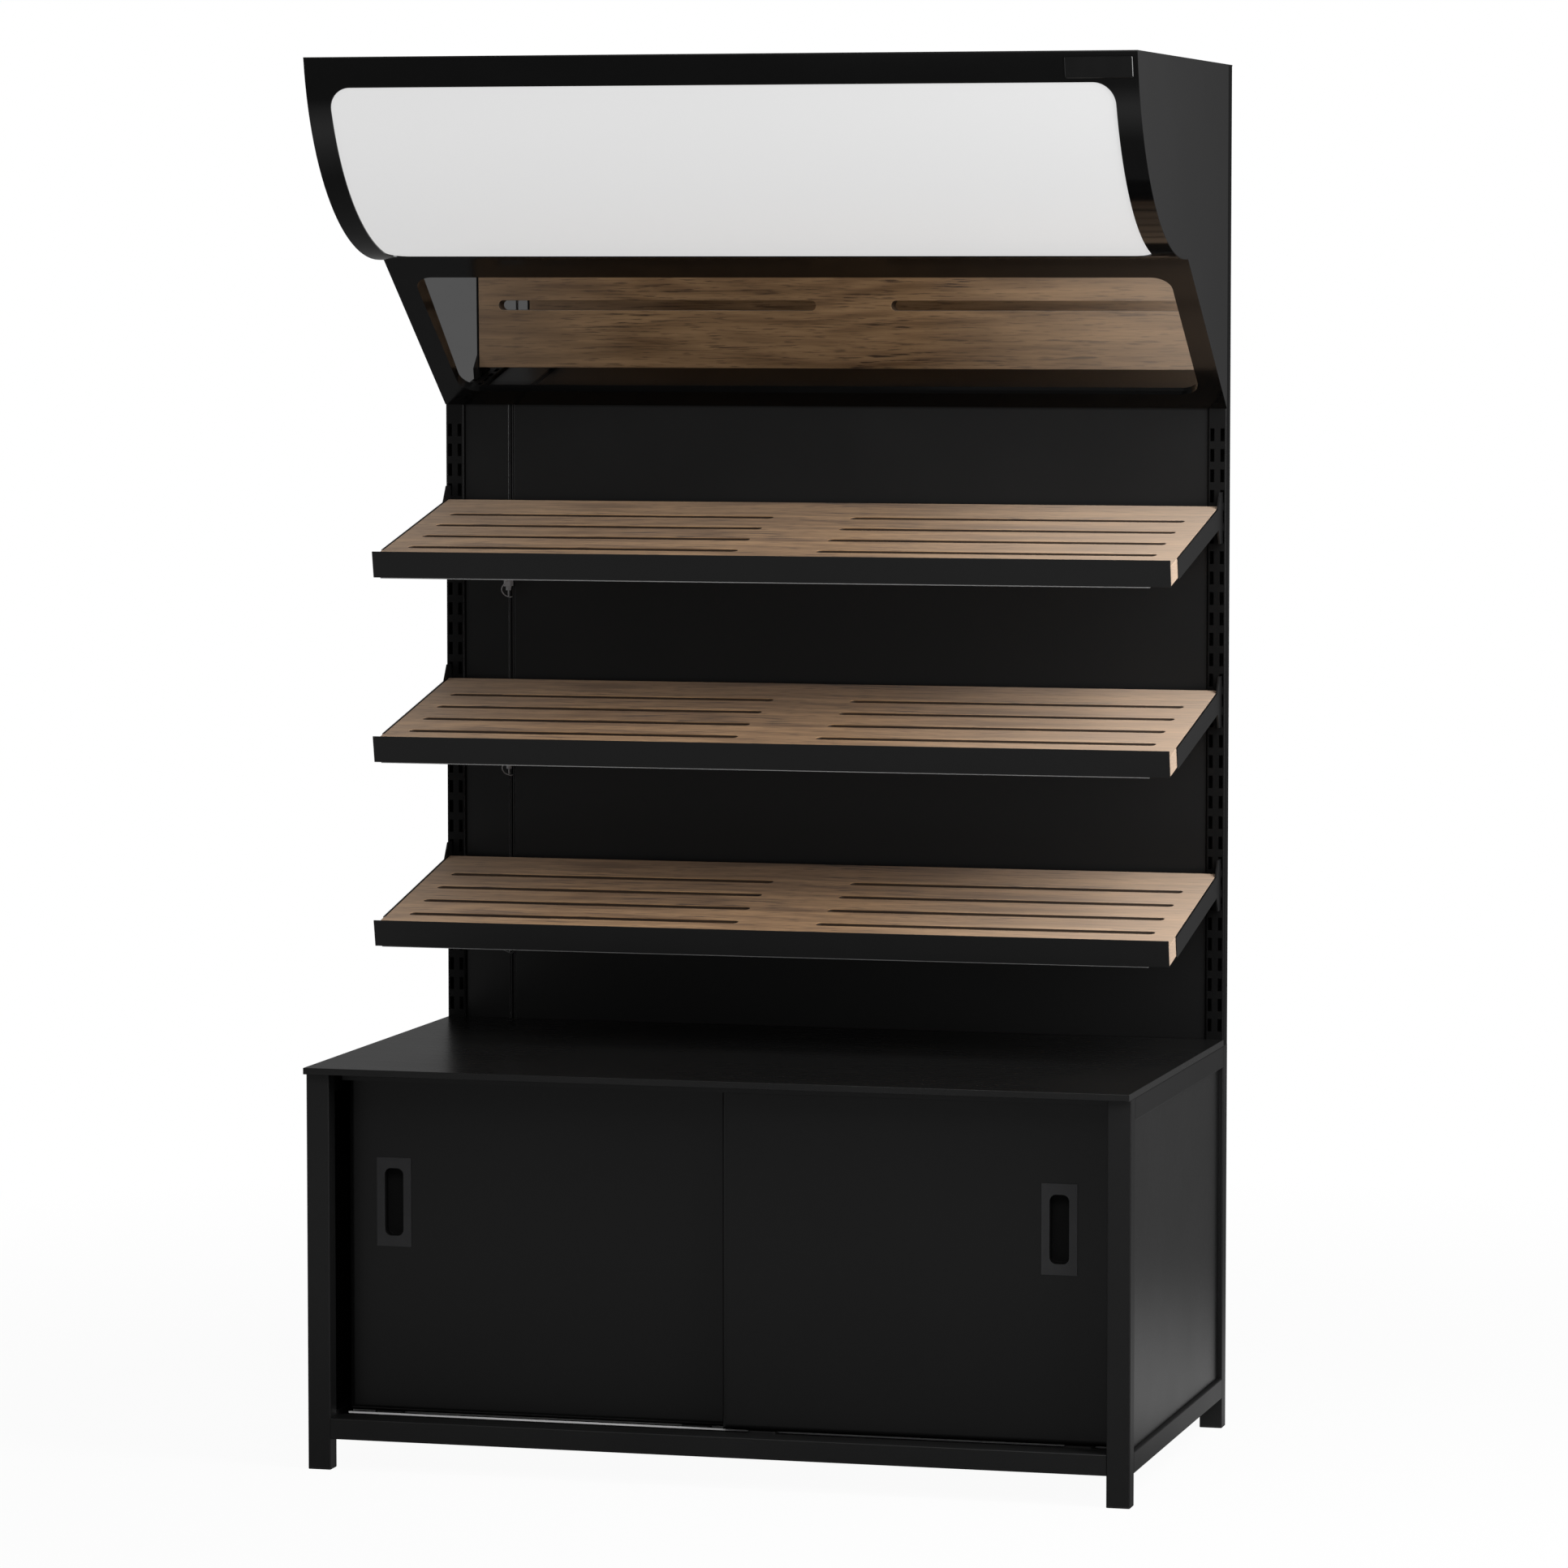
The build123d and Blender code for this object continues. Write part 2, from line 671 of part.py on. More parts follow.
def light_lead(rear_z):
    """The adapter at the power rail, its tail, and the lead from the light bar."""
    adapter_x = power_rail_x + adapter_x_offset
    adapter_rear_y = panel_face_y - adapter_panel_gap
    adapter_foot = rear_z + board_rear_drop - adapter_below_hooks
    adapter_front_y = adapter_rear_y - adapter_depth
    adapter_y = adapter_rear_y - adapter_depth / 2
    adapter_top = adapter_foot + adapter_height
    bar_rear_down = board_depth - light_bar_front_gap - light_bar_width
    lead_level = -(board_thickness + lead_board_gap + lead_diameter / 2)
    lead_x = -(shelf_half_width - lead_side_margin)
    start_y, start_z = slope_point(rear_z, bar_rear_down - lead_end_gap, lead_level)
    turn_y, turn_z = slope_point(rear_z, lead_turn_depth, lead_level)
    main_lead = lead([
        (lead_x, start_y, start_z),
        (lead_x, turn_y, turn_z),
        (adapter_x, adapter_y, turn_z),
        (adapter_x, adapter_y, adapter_top + lead_end_gap),
    ], lead_diameter)
    tail = lead([
        (adapter_x + 3.0, adapter_front_y - lead_end_gap, adapter_foot + 10.0),
        (adapter_x + 3.0, adapter_front_y - 9.0, adapter_foot + 10.0),
        (adapter_x - 9.0, adapter_front_y - 7.0, adapter_foot - 4.0),
        (adapter_x - 6.0, adapter_front_y + 6.0, adapter_foot - 15.0),
        (power_rail_x, adapter_rear_y - 4.0, adapter_foot - 18.0),
        (power_rail_x, panel_face_y + 4.0, adapter_foot - 17.0),
    ], tail_diameter)
    with BuildPart() as leads:
        with BuildSketch(Plane((adapter_x, adapter_y, adapter_foot))):
            RectangleRounded(adapter_width, adapter_depth, adapter_corner)
        extrude(amount=adapter_height)
        blade_z = adapter_foot + adapter_height / 2
        with BuildSketch(facing(BACK, power_rail_x, adapter_rear_y, blade_z)):
            Rectangle(blade_thickness, blade_height)
        extrude(amount=blade_reach)
        with BuildSketch(Plane((adapter_x, adapter_y, adapter_foot))):
            Circle(jack_radius)
        extrude(amount=-jack_height)
        with BuildSketch(Plane((adapter_x, adapter_y, adapter_foot - jack_height))):
            Circle(pin_radius)
        extrude(amount=-pin_height)
        add(main_lead.part)
        add(tail.part)
    return leads


top_hook_row = slot_rows - rows_above_top_shelf
shelf_rows_apart = (top_hook_row - lowest_hook_row) // (shelf_count - 1)

for shelf_number in range(shelf_count):
    hook_row = top_hook_row - shelf_number * shelf_rows_apart
    board_rear_z = slot_first_z + hook_row * slot_pitch - board_rear_drop
    label = shelf_number + 1
    finish(shelf_board(board_rear_z), f"shelf_board_{label}")
    finish(shelf_strip(board_rear_z), f"shelf_strip_{label}")
    finish(light_bar(board_rear_z), f"light_bar_{label}")
    finish(light_lead(board_rear_z), f"light_lead_{label}")
    for side, side_name in SIDES:
        finish(shelf_bracket(board_rear_z, side), f"bracket_{side_name}_{label}")

# Canopy: the curve's centre, and the slant below it
curve_y = canopy_knee_y - canopy_knee_step
curve_z = canopy_knee_z + canopy_radius
slant_angle = atan2(slant_fall, slant_run)
slant_inner_rise = canopy_sheet / cos(slant_angle)
slant_knee_shift = canopy_sheet * tan(slant_angle / 2)


def curve_point(radius, angle):
    """A (y, z) point of the canopy's curve, the angle measured from straight down."""
    return (curve_y - radius * sin(angle), curve_z - radius * cos(angle))


def curve_angle_at(radius, z):
    """The curve's angle where it reaches a height."""
    return acos((curve_z - z) / radius)


def curve_line(radius, first, last):
    """An arc of the canopy's curve between two angles, for a sketch on the YZ plane."""
    middle = (first + last) / 2
    return ThreePointArc(curve_point(radius, first), curve_point(radius, middle), curve_point(radius, last))


inner_radius = canopy_radius - canopy_sheet

for side, side_name in SIDES:
    with BuildPart() as cheek:
        with BuildSketch(Plane.YZ.offset(side * half_width)):
            with BuildLine():
                front = curve_line(inner_radius, curve_angle_at(inner_radius, canopy_top_foot), 0)
                Polyline(
                    front @ 1,
                    (canopy_knee_y + slant_knee_shift, canopy_knee_z + canopy_sheet),
                    (upright_front_y, canopy_foot_z + slant_inner_rise),
                    (upright_front_y, canopy_top_foot),
                    front @ 0,
                )
            make_face()
        extrude(amount=-side * canopy_sheet)
        flange_foot = canopy_foot_z + cheek_flange_foot
        flange_x = side * (half_width - cheek_flange / 2)
        with BuildSketch(facing(FRONT, flange_x, upright_front_y, flange_foot)):
            Rectangle(cheek_flange, canopy_top_foot - flange_foot, align=(Align.CENTER, Align.MIN))
        extrude(amount=canopy_sheet)
    finish(cheek, f"cheek_{side_name}")

with BuildPart() as canopy_top:
    front_edge_y = curve_point(canopy_radius, curve_angle_at(canopy_radius, overall_height))[0]
    with BuildSketch(Plane((0, front_edge_y, canopy_top_foot))):
        Rectangle(frame_width, rear_y - front_edge_y, align=(Align.CENTER, Align.MIN))
    extrude(amount=canopy_sheet)
finish(canopy_top, "canopy_top")

sign_window_width = frame_width - 2 * window_side_border
sign_window_top_z = overall_height - sign_window_top
sign_window_foot_y = canopy_knee_y - sign_window_foot_border

with BuildPart() as sign_window:
    hang = (Align.CENTER, Align.MAX)
    with BuildSketch(facing(FRONT, 0, canopy_knee_y, sign_window_top_z)):
        RectangleRounded(sign_window_width, canopy_rise, sign_window_corner, align=hang)
    extrude(amount=2 * canopy_radius)
    with BuildSketch(Plane((0, sign_window_foot_y, canopy_foot_z))):
        RectangleRounded(sign_window_width, 2 * canopy_radius, sign_window_corner, align=hang)
    extrude(amount=canopy_radius + canopy_rise, mode=Mode.INTERSECT)

with BuildPart() as sign_frame:
    with BuildSketch(Plane.YZ.offset(-half_width)):
        with BuildLine():
            outer = curve_line(canopy_radius, curve_angle_at(canopy_radius, canopy_top_foot), 0)
            inner = curve_line(inner_radius, curve_angle_at(inner_radius, canopy_top_foot), 0)
            Polyline(
                outer @ 1,
                (canopy_knee_y, canopy_knee_z),
                (canopy_knee_y, canopy_knee_z + canopy_sheet),
                inner @ 1,
            )
            Line(outer @ 0, inner @ 0)
        make_face()
    extrude(amount=frame_width)
    add(sign_window.part, mode=Mode.SUBTRACT)
finish(sign_frame, "sign_frame")

with BuildPart() as sign_panel:
    panel_inner = inner_radius - sign_panel_thickness
    panel_top_angle = curve_angle_at(inner_radius, sign_window_top_z + sign_panel_lap)
    panel_foot_angle = asin((curve_y - sign_window_foot_y - sign_panel_lap) / inner_radius)
    panel_width = sign_window_width + 2 * sign_panel_lap
    with BuildSketch(Plane.YZ.offset(-panel_width / 2)):
        with BuildLine():
            outer = curve_line(inner_radius, panel_top_angle, panel_foot_angle)
            inner = curve_line(panel_inner, panel_top_angle, panel_foot_angle)
            Line(outer @ 0, inner @ 0)
            Line(outer @ 1, inner @ 1)
        make_face()
    extrude(amount=panel_width)
finish(sign_panel, "sign_panel")

# Mirror in its slanted frame, a little steeper than the frame; the planes' own y axes run down the slant
inward = (0, sin(slant_angle), cos(slant_angle))
slant_plane = Plane(origin=(0, canopy_knee_y, canopy_knee_z), x_dir=(1, 0, 0), z_dir=inward)
slant_length = hypot(slant_run, slant_fall)
mirror_plate_length = (slant_run - canopy_sheet * sin(slant_angle)) / cos(slant_angle)
mirror_window_height = slant_length - mirror_top_border - mirror_foot_border
mirror_window_middle = mirror_top_border + mirror_window_height / 2
mirror_angle = slant_angle + radians(mirror_turn)
mirror_middle = slant_plane.from_local_coords((0, mirror_window_middle, mirror_lip))
mirror_plane = Plane(origin=mirror_middle, x_dir=(1, 0, 0), z_dir=(0, sin(mirror_angle), cos(mirror_angle)))

with BuildPart() as mirror_frame:
    with BuildSketch(slant_plane):
        Rectangle(frame_width, mirror_plate_length, align=(Align.CENTER, Align.MIN))
    extrude(amount=canopy_sheet)
    with BuildSketch(slant_plane):
        with Locations((0, mirror_window_middle)):
            lip_rim = 2 * canopy_sheet
            lip_corner = mirror_window_corner + canopy_sheet
            RectangleRounded(sign_window_width + lip_rim, mirror_window_height + lip_rim, lip_corner)
    extrude(amount=2 * mirror_lip)
    split(bisect_by=mirror_plane, keep=Keep.BOTTOM)
    with BuildSketch(slant_plane):
        with Locations((0, mirror_window_middle)):
            RectangleRounded(sign_window_width, mirror_window_height, mirror_window_corner)
    extrude(amount=2 * mirror_lip, mode=Mode.SUBTRACT)
finish(mirror_frame, "mirror_frame")

with BuildPart() as mirror:
    with BuildSketch(mirror_plane):
        Rectangle(sign_window_width + 2 * mirror_lap, mirror_window_height + 2 * mirror_lap)
    extrude(amount=mirror_thickness)
finish(mirror, "mirror")

# Bare plate at the canopy's top right, lying on the curve
badge_angle = curve_angle_at(canopy_radius, overall_height - badge_top_margin)
badge_y, badge_z = curve_point(canopy_radius, badge_angle)
badge_face = Plane(
    origin=(half_width - badge_side_margin, badge_y, badge_z),
    x_dir=(1, 0, 0),
    z_dir=(0, -sin(badge_angle), -cos(badge_angle)),
)
with BuildPart() as badge_plate:
    with BuildSketch(badge_face):
        RectangleRounded(badge_width, badge_height, badge_corner)
    extrude(amount=badge_thickness)
    badge_front = badge_face.offset(badge_thickness)
    chamfer(badge_plate.edges().filter_by(lambda edge: on_plane(edge, badge_front)), badge_bevel)
finish(badge_plate, "badge_plate")

# Light battens behind the sign, and the power supply on the back panel
batten_rear_y = canopy_knee_y - batten_rear_setback
supply_x = supply_side_margin - half_width
supply_z = overall_height - supply_top_margin

with BuildPart() as sign_lights:
    with BuildSketch(Plane((0, 0, canopy_top_foot))):
        with Locations((0, batten_rear_y - batten_spacing), (0, batten_rear_y)):
            Rectangle(frame_width - 2 * batten_side_gap, batten_width)
    extrude(amount=-batten_height, taper=batten_taper)
finish(sign_lights, "sign_lights")

with BuildPart() as power_supply:
    with BuildSketch(facing(FRONT, supply_x, panel_face_y, supply_z)):
        RectangleRounded(supply_width, supply_height, supply_corner)
    extrude(amount=supply_depth)
finish(power_supply, "power_supply")

# Cord gland through the back panel: tail and nut inside, collar and dome outside
with BuildPart() as cord_gland:
    hole_face = facing(BACK, gland_x, panel_face_y, gland_z)
    outer_face = hole_face.offset(sheet)
    with BuildSketch(hole_face.offset(-gland_tail_length)):
        Circle(gland_thread_radius)
    extrude(amount=gland_tail_length + sheet)
    with BuildSketch(hole_face):
        RegularPolygon(gland_collar_radius, 6)
    extrude(amount=-gland_nut_length)
    with BuildSketch(outer_face):
        RegularPolygon(gland_collar_radius, 6)
    extrude(amount=gland_collar_length)
    with BuildSketch(outer_face.offset(gland_collar_length)):
        Circle(gland_dome_radius)
    extrude(amount=gland_dome_length)
    fillet(cord_gland.edges().sort_by(Axis.Y)[-1], gland_edge_radius)
    with BuildSketch(hole_face.offset(-gland_tail_length)):
        Circle(gland_bore_radius)
    extrude(amount=gland_tail_length + sheet + gland_collar_length + gland_dome_length, mode=Mode.SUBTRACT)
finish(cord_gland, "cord_gland")
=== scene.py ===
"""Looks of the bread display rack: its finishes, the studio and the camera.

Metres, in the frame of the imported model: +Z up, the rack's front faces -Y.
"""

import logging
from dataclasses import dataclass
from enum import Enum
from math import pi, radians, sin
from typing import Any, Protocol

import bpy
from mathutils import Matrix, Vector


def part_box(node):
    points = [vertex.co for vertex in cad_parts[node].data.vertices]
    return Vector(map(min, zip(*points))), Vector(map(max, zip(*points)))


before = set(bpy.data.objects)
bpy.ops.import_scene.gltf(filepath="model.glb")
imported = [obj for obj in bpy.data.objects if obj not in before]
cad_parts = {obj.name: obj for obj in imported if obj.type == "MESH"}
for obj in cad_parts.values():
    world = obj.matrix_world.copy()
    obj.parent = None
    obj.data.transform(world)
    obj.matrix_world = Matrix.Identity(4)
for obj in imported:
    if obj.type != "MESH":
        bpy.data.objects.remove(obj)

log = logging.getLogger("bread_rack")

Colour = tuple[float, float, float]
Triple = tuple[float, float, float]
Span = tuple[float, float]
NO_TURN: Triple = (0.0, 0.0, 0.0)
NO_SHIFT: Triple = (0.0, 0.0, 0.0)
UNSCALED: Triple = (1.0, 1.0, 1.0)

# The Mix node has sockets for each kind of data: these are its sockets for colours.
MIX_FIRST_COLOUR = 6
MIX_SECOND_COLOUR = 7
MIX_COLOUR = 2

# A depth and a height that the whole rack lies beyond.
BEFORE_THE_RACK = -10.0
BELOW_THE_RACK = -10.0


class Side(Enum):
    """The two sides of the rack, seen from the front."""

    LEFT = "left"
    RIGHT = "right"


def times(colour: Colour, gain: float) -> Colour:
    """A colour with each of its parts times a gain."""
    return tuple(part * gain for part in colour)


def greys(tone: float, gains: Span) -> tuple[Colour, Colour]:
    """Two greys: a tone times each of two gains."""
    return tuple((tone * gain,) * 3 for gain in gains)


@dataclass(frozen=True)
class Grain:
    """A noise: its repeats per metre along each axis, its detail and its roughness."""

    scale: Triple
    detail: float = 2.0
    roughness: float = 0.5

    @classmethod
    def even(cls, scale: float, detail: float = 2.0) -> "Grain":
        """A grain with the same scale along each axis."""
        return cls((scale,) * 3, detail)

    @classmethod
    def along_x(
        cls, lengthwise: float, crosswise: float, detail: float = 2.0, roughness: float = 0.5
    ) -> "Grain":
        """A grain with one scale along X and another across it."""
        return cls((lengthwise, crosswise, crosswise), detail, roughness)


class Value:
    """A number that varies over a surface, held as the output socket of a node."""

    def __init__(self, sheet: "NodeSheet", socket: bpy.types.NodeSocket) -> None:
        """Keeps the socket and the sheet that it is on."""
        self.sheet = sheet
        self.socket = socket

    def __add__(self, other: Any) -> "Value":
        """This value plus another."""
        return self.sheet.maths("ADD", self, other)

    def __radd__(self, other: Any) -> "Value":
        """A number plus this value."""
        return self.sheet.maths("ADD", other, self)

    def __sub__(self, other: Any) -> "Value":
        """This value minus another."""
        return self.sheet.maths("SUBTRACT", self, other)

    def __rsub__(self, other: Any) -> "Value":
        """A number minus this value."""
        return self.sheet.maths("SUBTRACT", other, self)

    def __mul__(self, other: Any) -> "Value":
        """This value times another."""
        return self.sheet.maths("MULTIPLY", self, other)

    def __neg__(self) -> "Value":
        """This value with the other sign."""
        return self.sheet.maths("MULTIPLY", -1.0, self)

    def above(self, low: float, high: float) -> "Value":
        """0 up to low, 1 from high on, and a straight ramp between them."""
        settings = {"clamp": True}
        sockets = {"Value": self, "From Min": low, "From Max": high}
        return self.sheet.value("ShaderNodeMapRange", settings, sockets)

    def swing(self, amount: float) -> "Value":
        """How far a noise is from its middle, times an amount."""
        return (self - 0.5) * amount


class NodeSheet:
    """The nodes of one material or of the world."""

    def __init__(self, tree: bpy.types.NodeTree) -> None:
        """Takes the tree's nodes and links."""
        self.nodes = tree.nodes
        self.links = tree.links

    def node(self, kind: str, settings: dict[str, Any], sockets: dict[Any, Any]) -> bpy.types.Node:
        """Adds any node.

        Args:
            kind: The node's type.
            settings: Its properties.
            sockets: Values or links of its inputs, by name or by number.

        Returns:
            The node.
        """
        node = self.nodes.new(kind)
        for name, setting in settings.items():
            setattr(node, name, setting)
        for place, term in sockets.items():
            self.feed(node.inputs[place], term)
        return node

    def feed(self, socket: bpy.types.NodeSocket, term: Any) -> None:
        """Sets an input to a number, colour or vector, or links it to what feeds it.

        Args:
            socket: The input.
            term: What it gets.
        """
        if isinstance(term, Value):
            self.links.new(term.socket, socket)
        elif isinstance(term, bpy.types.NodeSocket):
            self.links.new(term, socket)
        elif socket.type == "RGBA":
            socket.default_value = (*term, 1.0)
        else:
            socket.default_value = term

    def value(
        self, kind: str, settings: dict[str, Any], sockets: dict[Any, Any], out: Any = 0
    ) -> Value:
        """Adds a node, as node() does, and returns one of its outputs as a value."""
        return Value(self, self.node(kind, settings, sockets).outputs[out])

    def maths(self, operation: str, *terms: Any) -> Value:
        """Adds a Math node.

        Args:
            operation: The node's operation.
            terms: Numbers and values, in the order of the node's sockets.

        Returns:
            The node's result.
        """
        return self.value("ShaderNodeMath", {"operation": operation}, dict(enumerate(terms)))

    def axes(self, vector: bpy.types.NodeSocket) -> tuple[Value, Value, Value]:
        """A vector's parts along X, Y and Z."""
        parts = self.node("ShaderNodeSeparateXYZ", {}, {0: vector}).outputs
        return Value(self, parts["X"]), Value(self, parts["Y"]), Value(self, parts["Z"])

    def grey(self, tone: Value) -> bpy.types.NodeSocket:
        """A grey colour of that brightness."""
        return self.node("ShaderNodeCombineColor", {}, {0: tone, 1: tone, 2: tone}).outputs[0]

    def direct(self, rays: bpy.types.Node) -> Value:
        """1 where the camera looks straight at a surface or through glass."""
        camera = Value(self, rays.outputs["Is Camera Ray"])
        through = Value(self, rays.outputs["Is Transmission Ray"])
        return self.maths("MAXIMUM", camera, through)


class FinishSheet(NodeSheet):
    """The nodes of one material, ending in its Principled surface."""

    def __init__(self, name: str) -> None:
        """Makes a material of that name, and its own coordinates, which move with the piece."""
        self.material = bpy.data.materials.new(name)
        self.material.use_nodes = True
        super().__init__(self.material.node_tree)
        self.surface = self.nodes["Principled BSDF"]
        self.output = self.nodes["Material Output"]
        self.place = self.node("ShaderNodeTexCoord", {}, {}).outputs["Object"]

    def mapped(self, scale: Triple, turn: Triple, shift: Triple) -> bpy.types.NodeSocket:
        """The surface's coordinates, shifted, turned and stretched.

        Args:
            scale: Repeats per metre along each axis.
            turn: Angles about the axes, in radians.
            shift: Distance taken off first, in metres.

        Returns:
            The vector's socket.
        """
        moved = self.vector("SUBTRACT", self.place, shift)
        turned = self.node("ShaderNodeMapping", {}, {"Vector": moved, "Rotation": turn})
        return self.vector("MULTIPLY", turned.outputs[0], scale)

    def vector(self, operation: str, *terms: Any) -> bpy.types.NodeSocket:
        """Adds a Vector Math node and returns its vector."""
        settings = {"operation": operation}
        return self.node("ShaderNodeVectorMath", settings, dict(enumerate(terms))).outputs[0]

    def noise(self, grain: Grain, turn: Triple = NO_TURN, shift: Triple = NO_SHIFT) -> Value:
        """Noise over the surface, from 0 to 1 with its middle at 0.5.

        Args:
            grain: The noise.
            turn: Angles about the axes, in radians.
            shift: Distance taken off first, in metres.

        Returns:
            The noise's value.
        """
        sockets = {"Scale": 1.0, "Detail": grain.detail, "Roughness": grain.roughness}
        sockets["Vector"] = self.mapped(grain.scale, turn, shift)
        return self.value("ShaderNodeTexNoise", {}, sockets)

    def blend(self, share: Any, first: Any, second: Any) -> bpy.types.NodeSocket:
        """Mixes two colours.

        Args:
            share: How much of the second colour shows.
            first: The colour or socket that lies under.
            second: The colour or socket on top.

        Returns:
            The mixed colour's socket.
        """
        mix = self.node("ShaderNodeMix", {"data_type": "RGBA"}, {0: share})
        self.feed(mix.inputs[MIX_FIRST_COLOUR], first)
        self.feed(mix.inputs[MIX_SECOND_COLOUR], second)
        return mix.outputs[MIX_COLOUR]

    def bump(self, height: Value, distance: float, strength: float) -> None:
        """Raises the surface by a height that varies from 0 to 1.

        Args:
            height: The height's share.
            distance: The full height in metres.
            strength: How much of the tilt shows.
        """
        sockets = {"Strength": strength, "Distance": distance, "Height": height}
        relief = self.node("ShaderNodeBump", {}, sockets)
        self.feed(self.surface.inputs["Normal"], relief.outputs[0])

    def finish(self, **sockets: Any) -> bpy.types.Material:
        """Sets the surface's sockets, by name with _ for a blank, and returns the material."""
        for name, term in sockets.items():
            self.feed(self.surface.inputs[name.replace("_", " ")], term)
        return self.material


class Finish(Protocol):
    """What every finish has: a name, and a way to make its material."""

    name: str

    def material(self) -> bpy.types.Material:
        """Makes the material."""


@dataclass(frozen=True)
class PowderCoat:
    """Baked powder coat: a fine orange peel, cloudy in tone and gloss."""

    name: str
    tone: float
    roughness: float = 0.42
    specular: float = 0.4
    clouds: Grain = Grain.even(5.0, 3.0)
    cloud_share: float = 0.7
    cloud_swing: float = 0.10
    grains: Grain = Grain.even(2600.0, 0.0)
    grain_share: float = 0.3
    grain_swing: float = 0.06
    tone_ramp: Span = (0.3, 0.7)
    dark_tint: Colour = (0.86, 0.86, 0.87)
    light_tint: Colour = (1.14, 1.14, 1.16)
    peel: Grain = Grain.even(1 / 0.0012, 1.0)
    peel_height: float = 0.00004
    peel_strength: float = 0.35

    def material(self) -> bpy.types.Material:
        """Makes the material."""
        sheet = FinishSheet(self.name)
        clouds = sheet.noise(self.clouds)
        grains = sheet.noise(self.grains)
        shade = (clouds * self.cloud_share + grains * self.grain_share).above(*self.tone_ramp)
        dark = times(self.dark_tint, self.tone)
        light = times(self.light_tint, self.tone)
        uneven = clouds.swing(self.cloud_swing) + grains.swing(self.grain_swing)
        sheet.bump(sheet.noise(self.peel), self.peel_height, self.peel_strength)
        return sheet.finish(
            Base_Color=sheet.blend(shade, dark, light),
            Roughness=uneven + self.roughness,
            Specular_IOR_Level=self.specular,
        )


@dataclass(frozen=True)
class GlossEnamel:
    """Black gloss lacquer with a faint ripple and hand-wiped patches."""

    name: str
    tone: float = 0.0018
    gains: Span = (1.0, 1.5)
    roughness: float = 0.10
    specular: float = 0.32
    wiping: Grain = Grain.along_x(4.0, 9.0, 4.0)
    wiped_ramp: Span = (0.35, 0.75)
    dull_ramp: Span = (0.45, 0.8)
    dull_gain: float = 0.06
    specks: Grain = Grain.even(900.0, 0.0)
    speck_ramp: Span = (0.74, 0.80)
    speck_gain: float = 0.10
    ripple: Grain = Grain.even(90.0, 1.0)
    ripple_height: float = 0.00003
    ripple_strength: float = 0.3

    def material(self) -> bpy.types.Material:
        """Makes the material."""
        sheet = FinishSheet(self.name)
        wiped = sheet.noise(self.wiping)
        specks = sheet.noise(self.specks).above(*self.speck_ramp)
        sheet.bump(sheet.noise(self.ripple), self.ripple_height, self.ripple_strength)
        dull = wiped.above(*self.dull_ramp) * self.dull_gain
        return sheet.finish(
            Base_Color=sheet.blend(wiped.above(*self.wiped_ramp), *greys(self.tone, self.gains)),
            Roughness=dull + specks * self.speck_gain + self.roughness,
            Specular_IOR_Level=self.specular,
        )


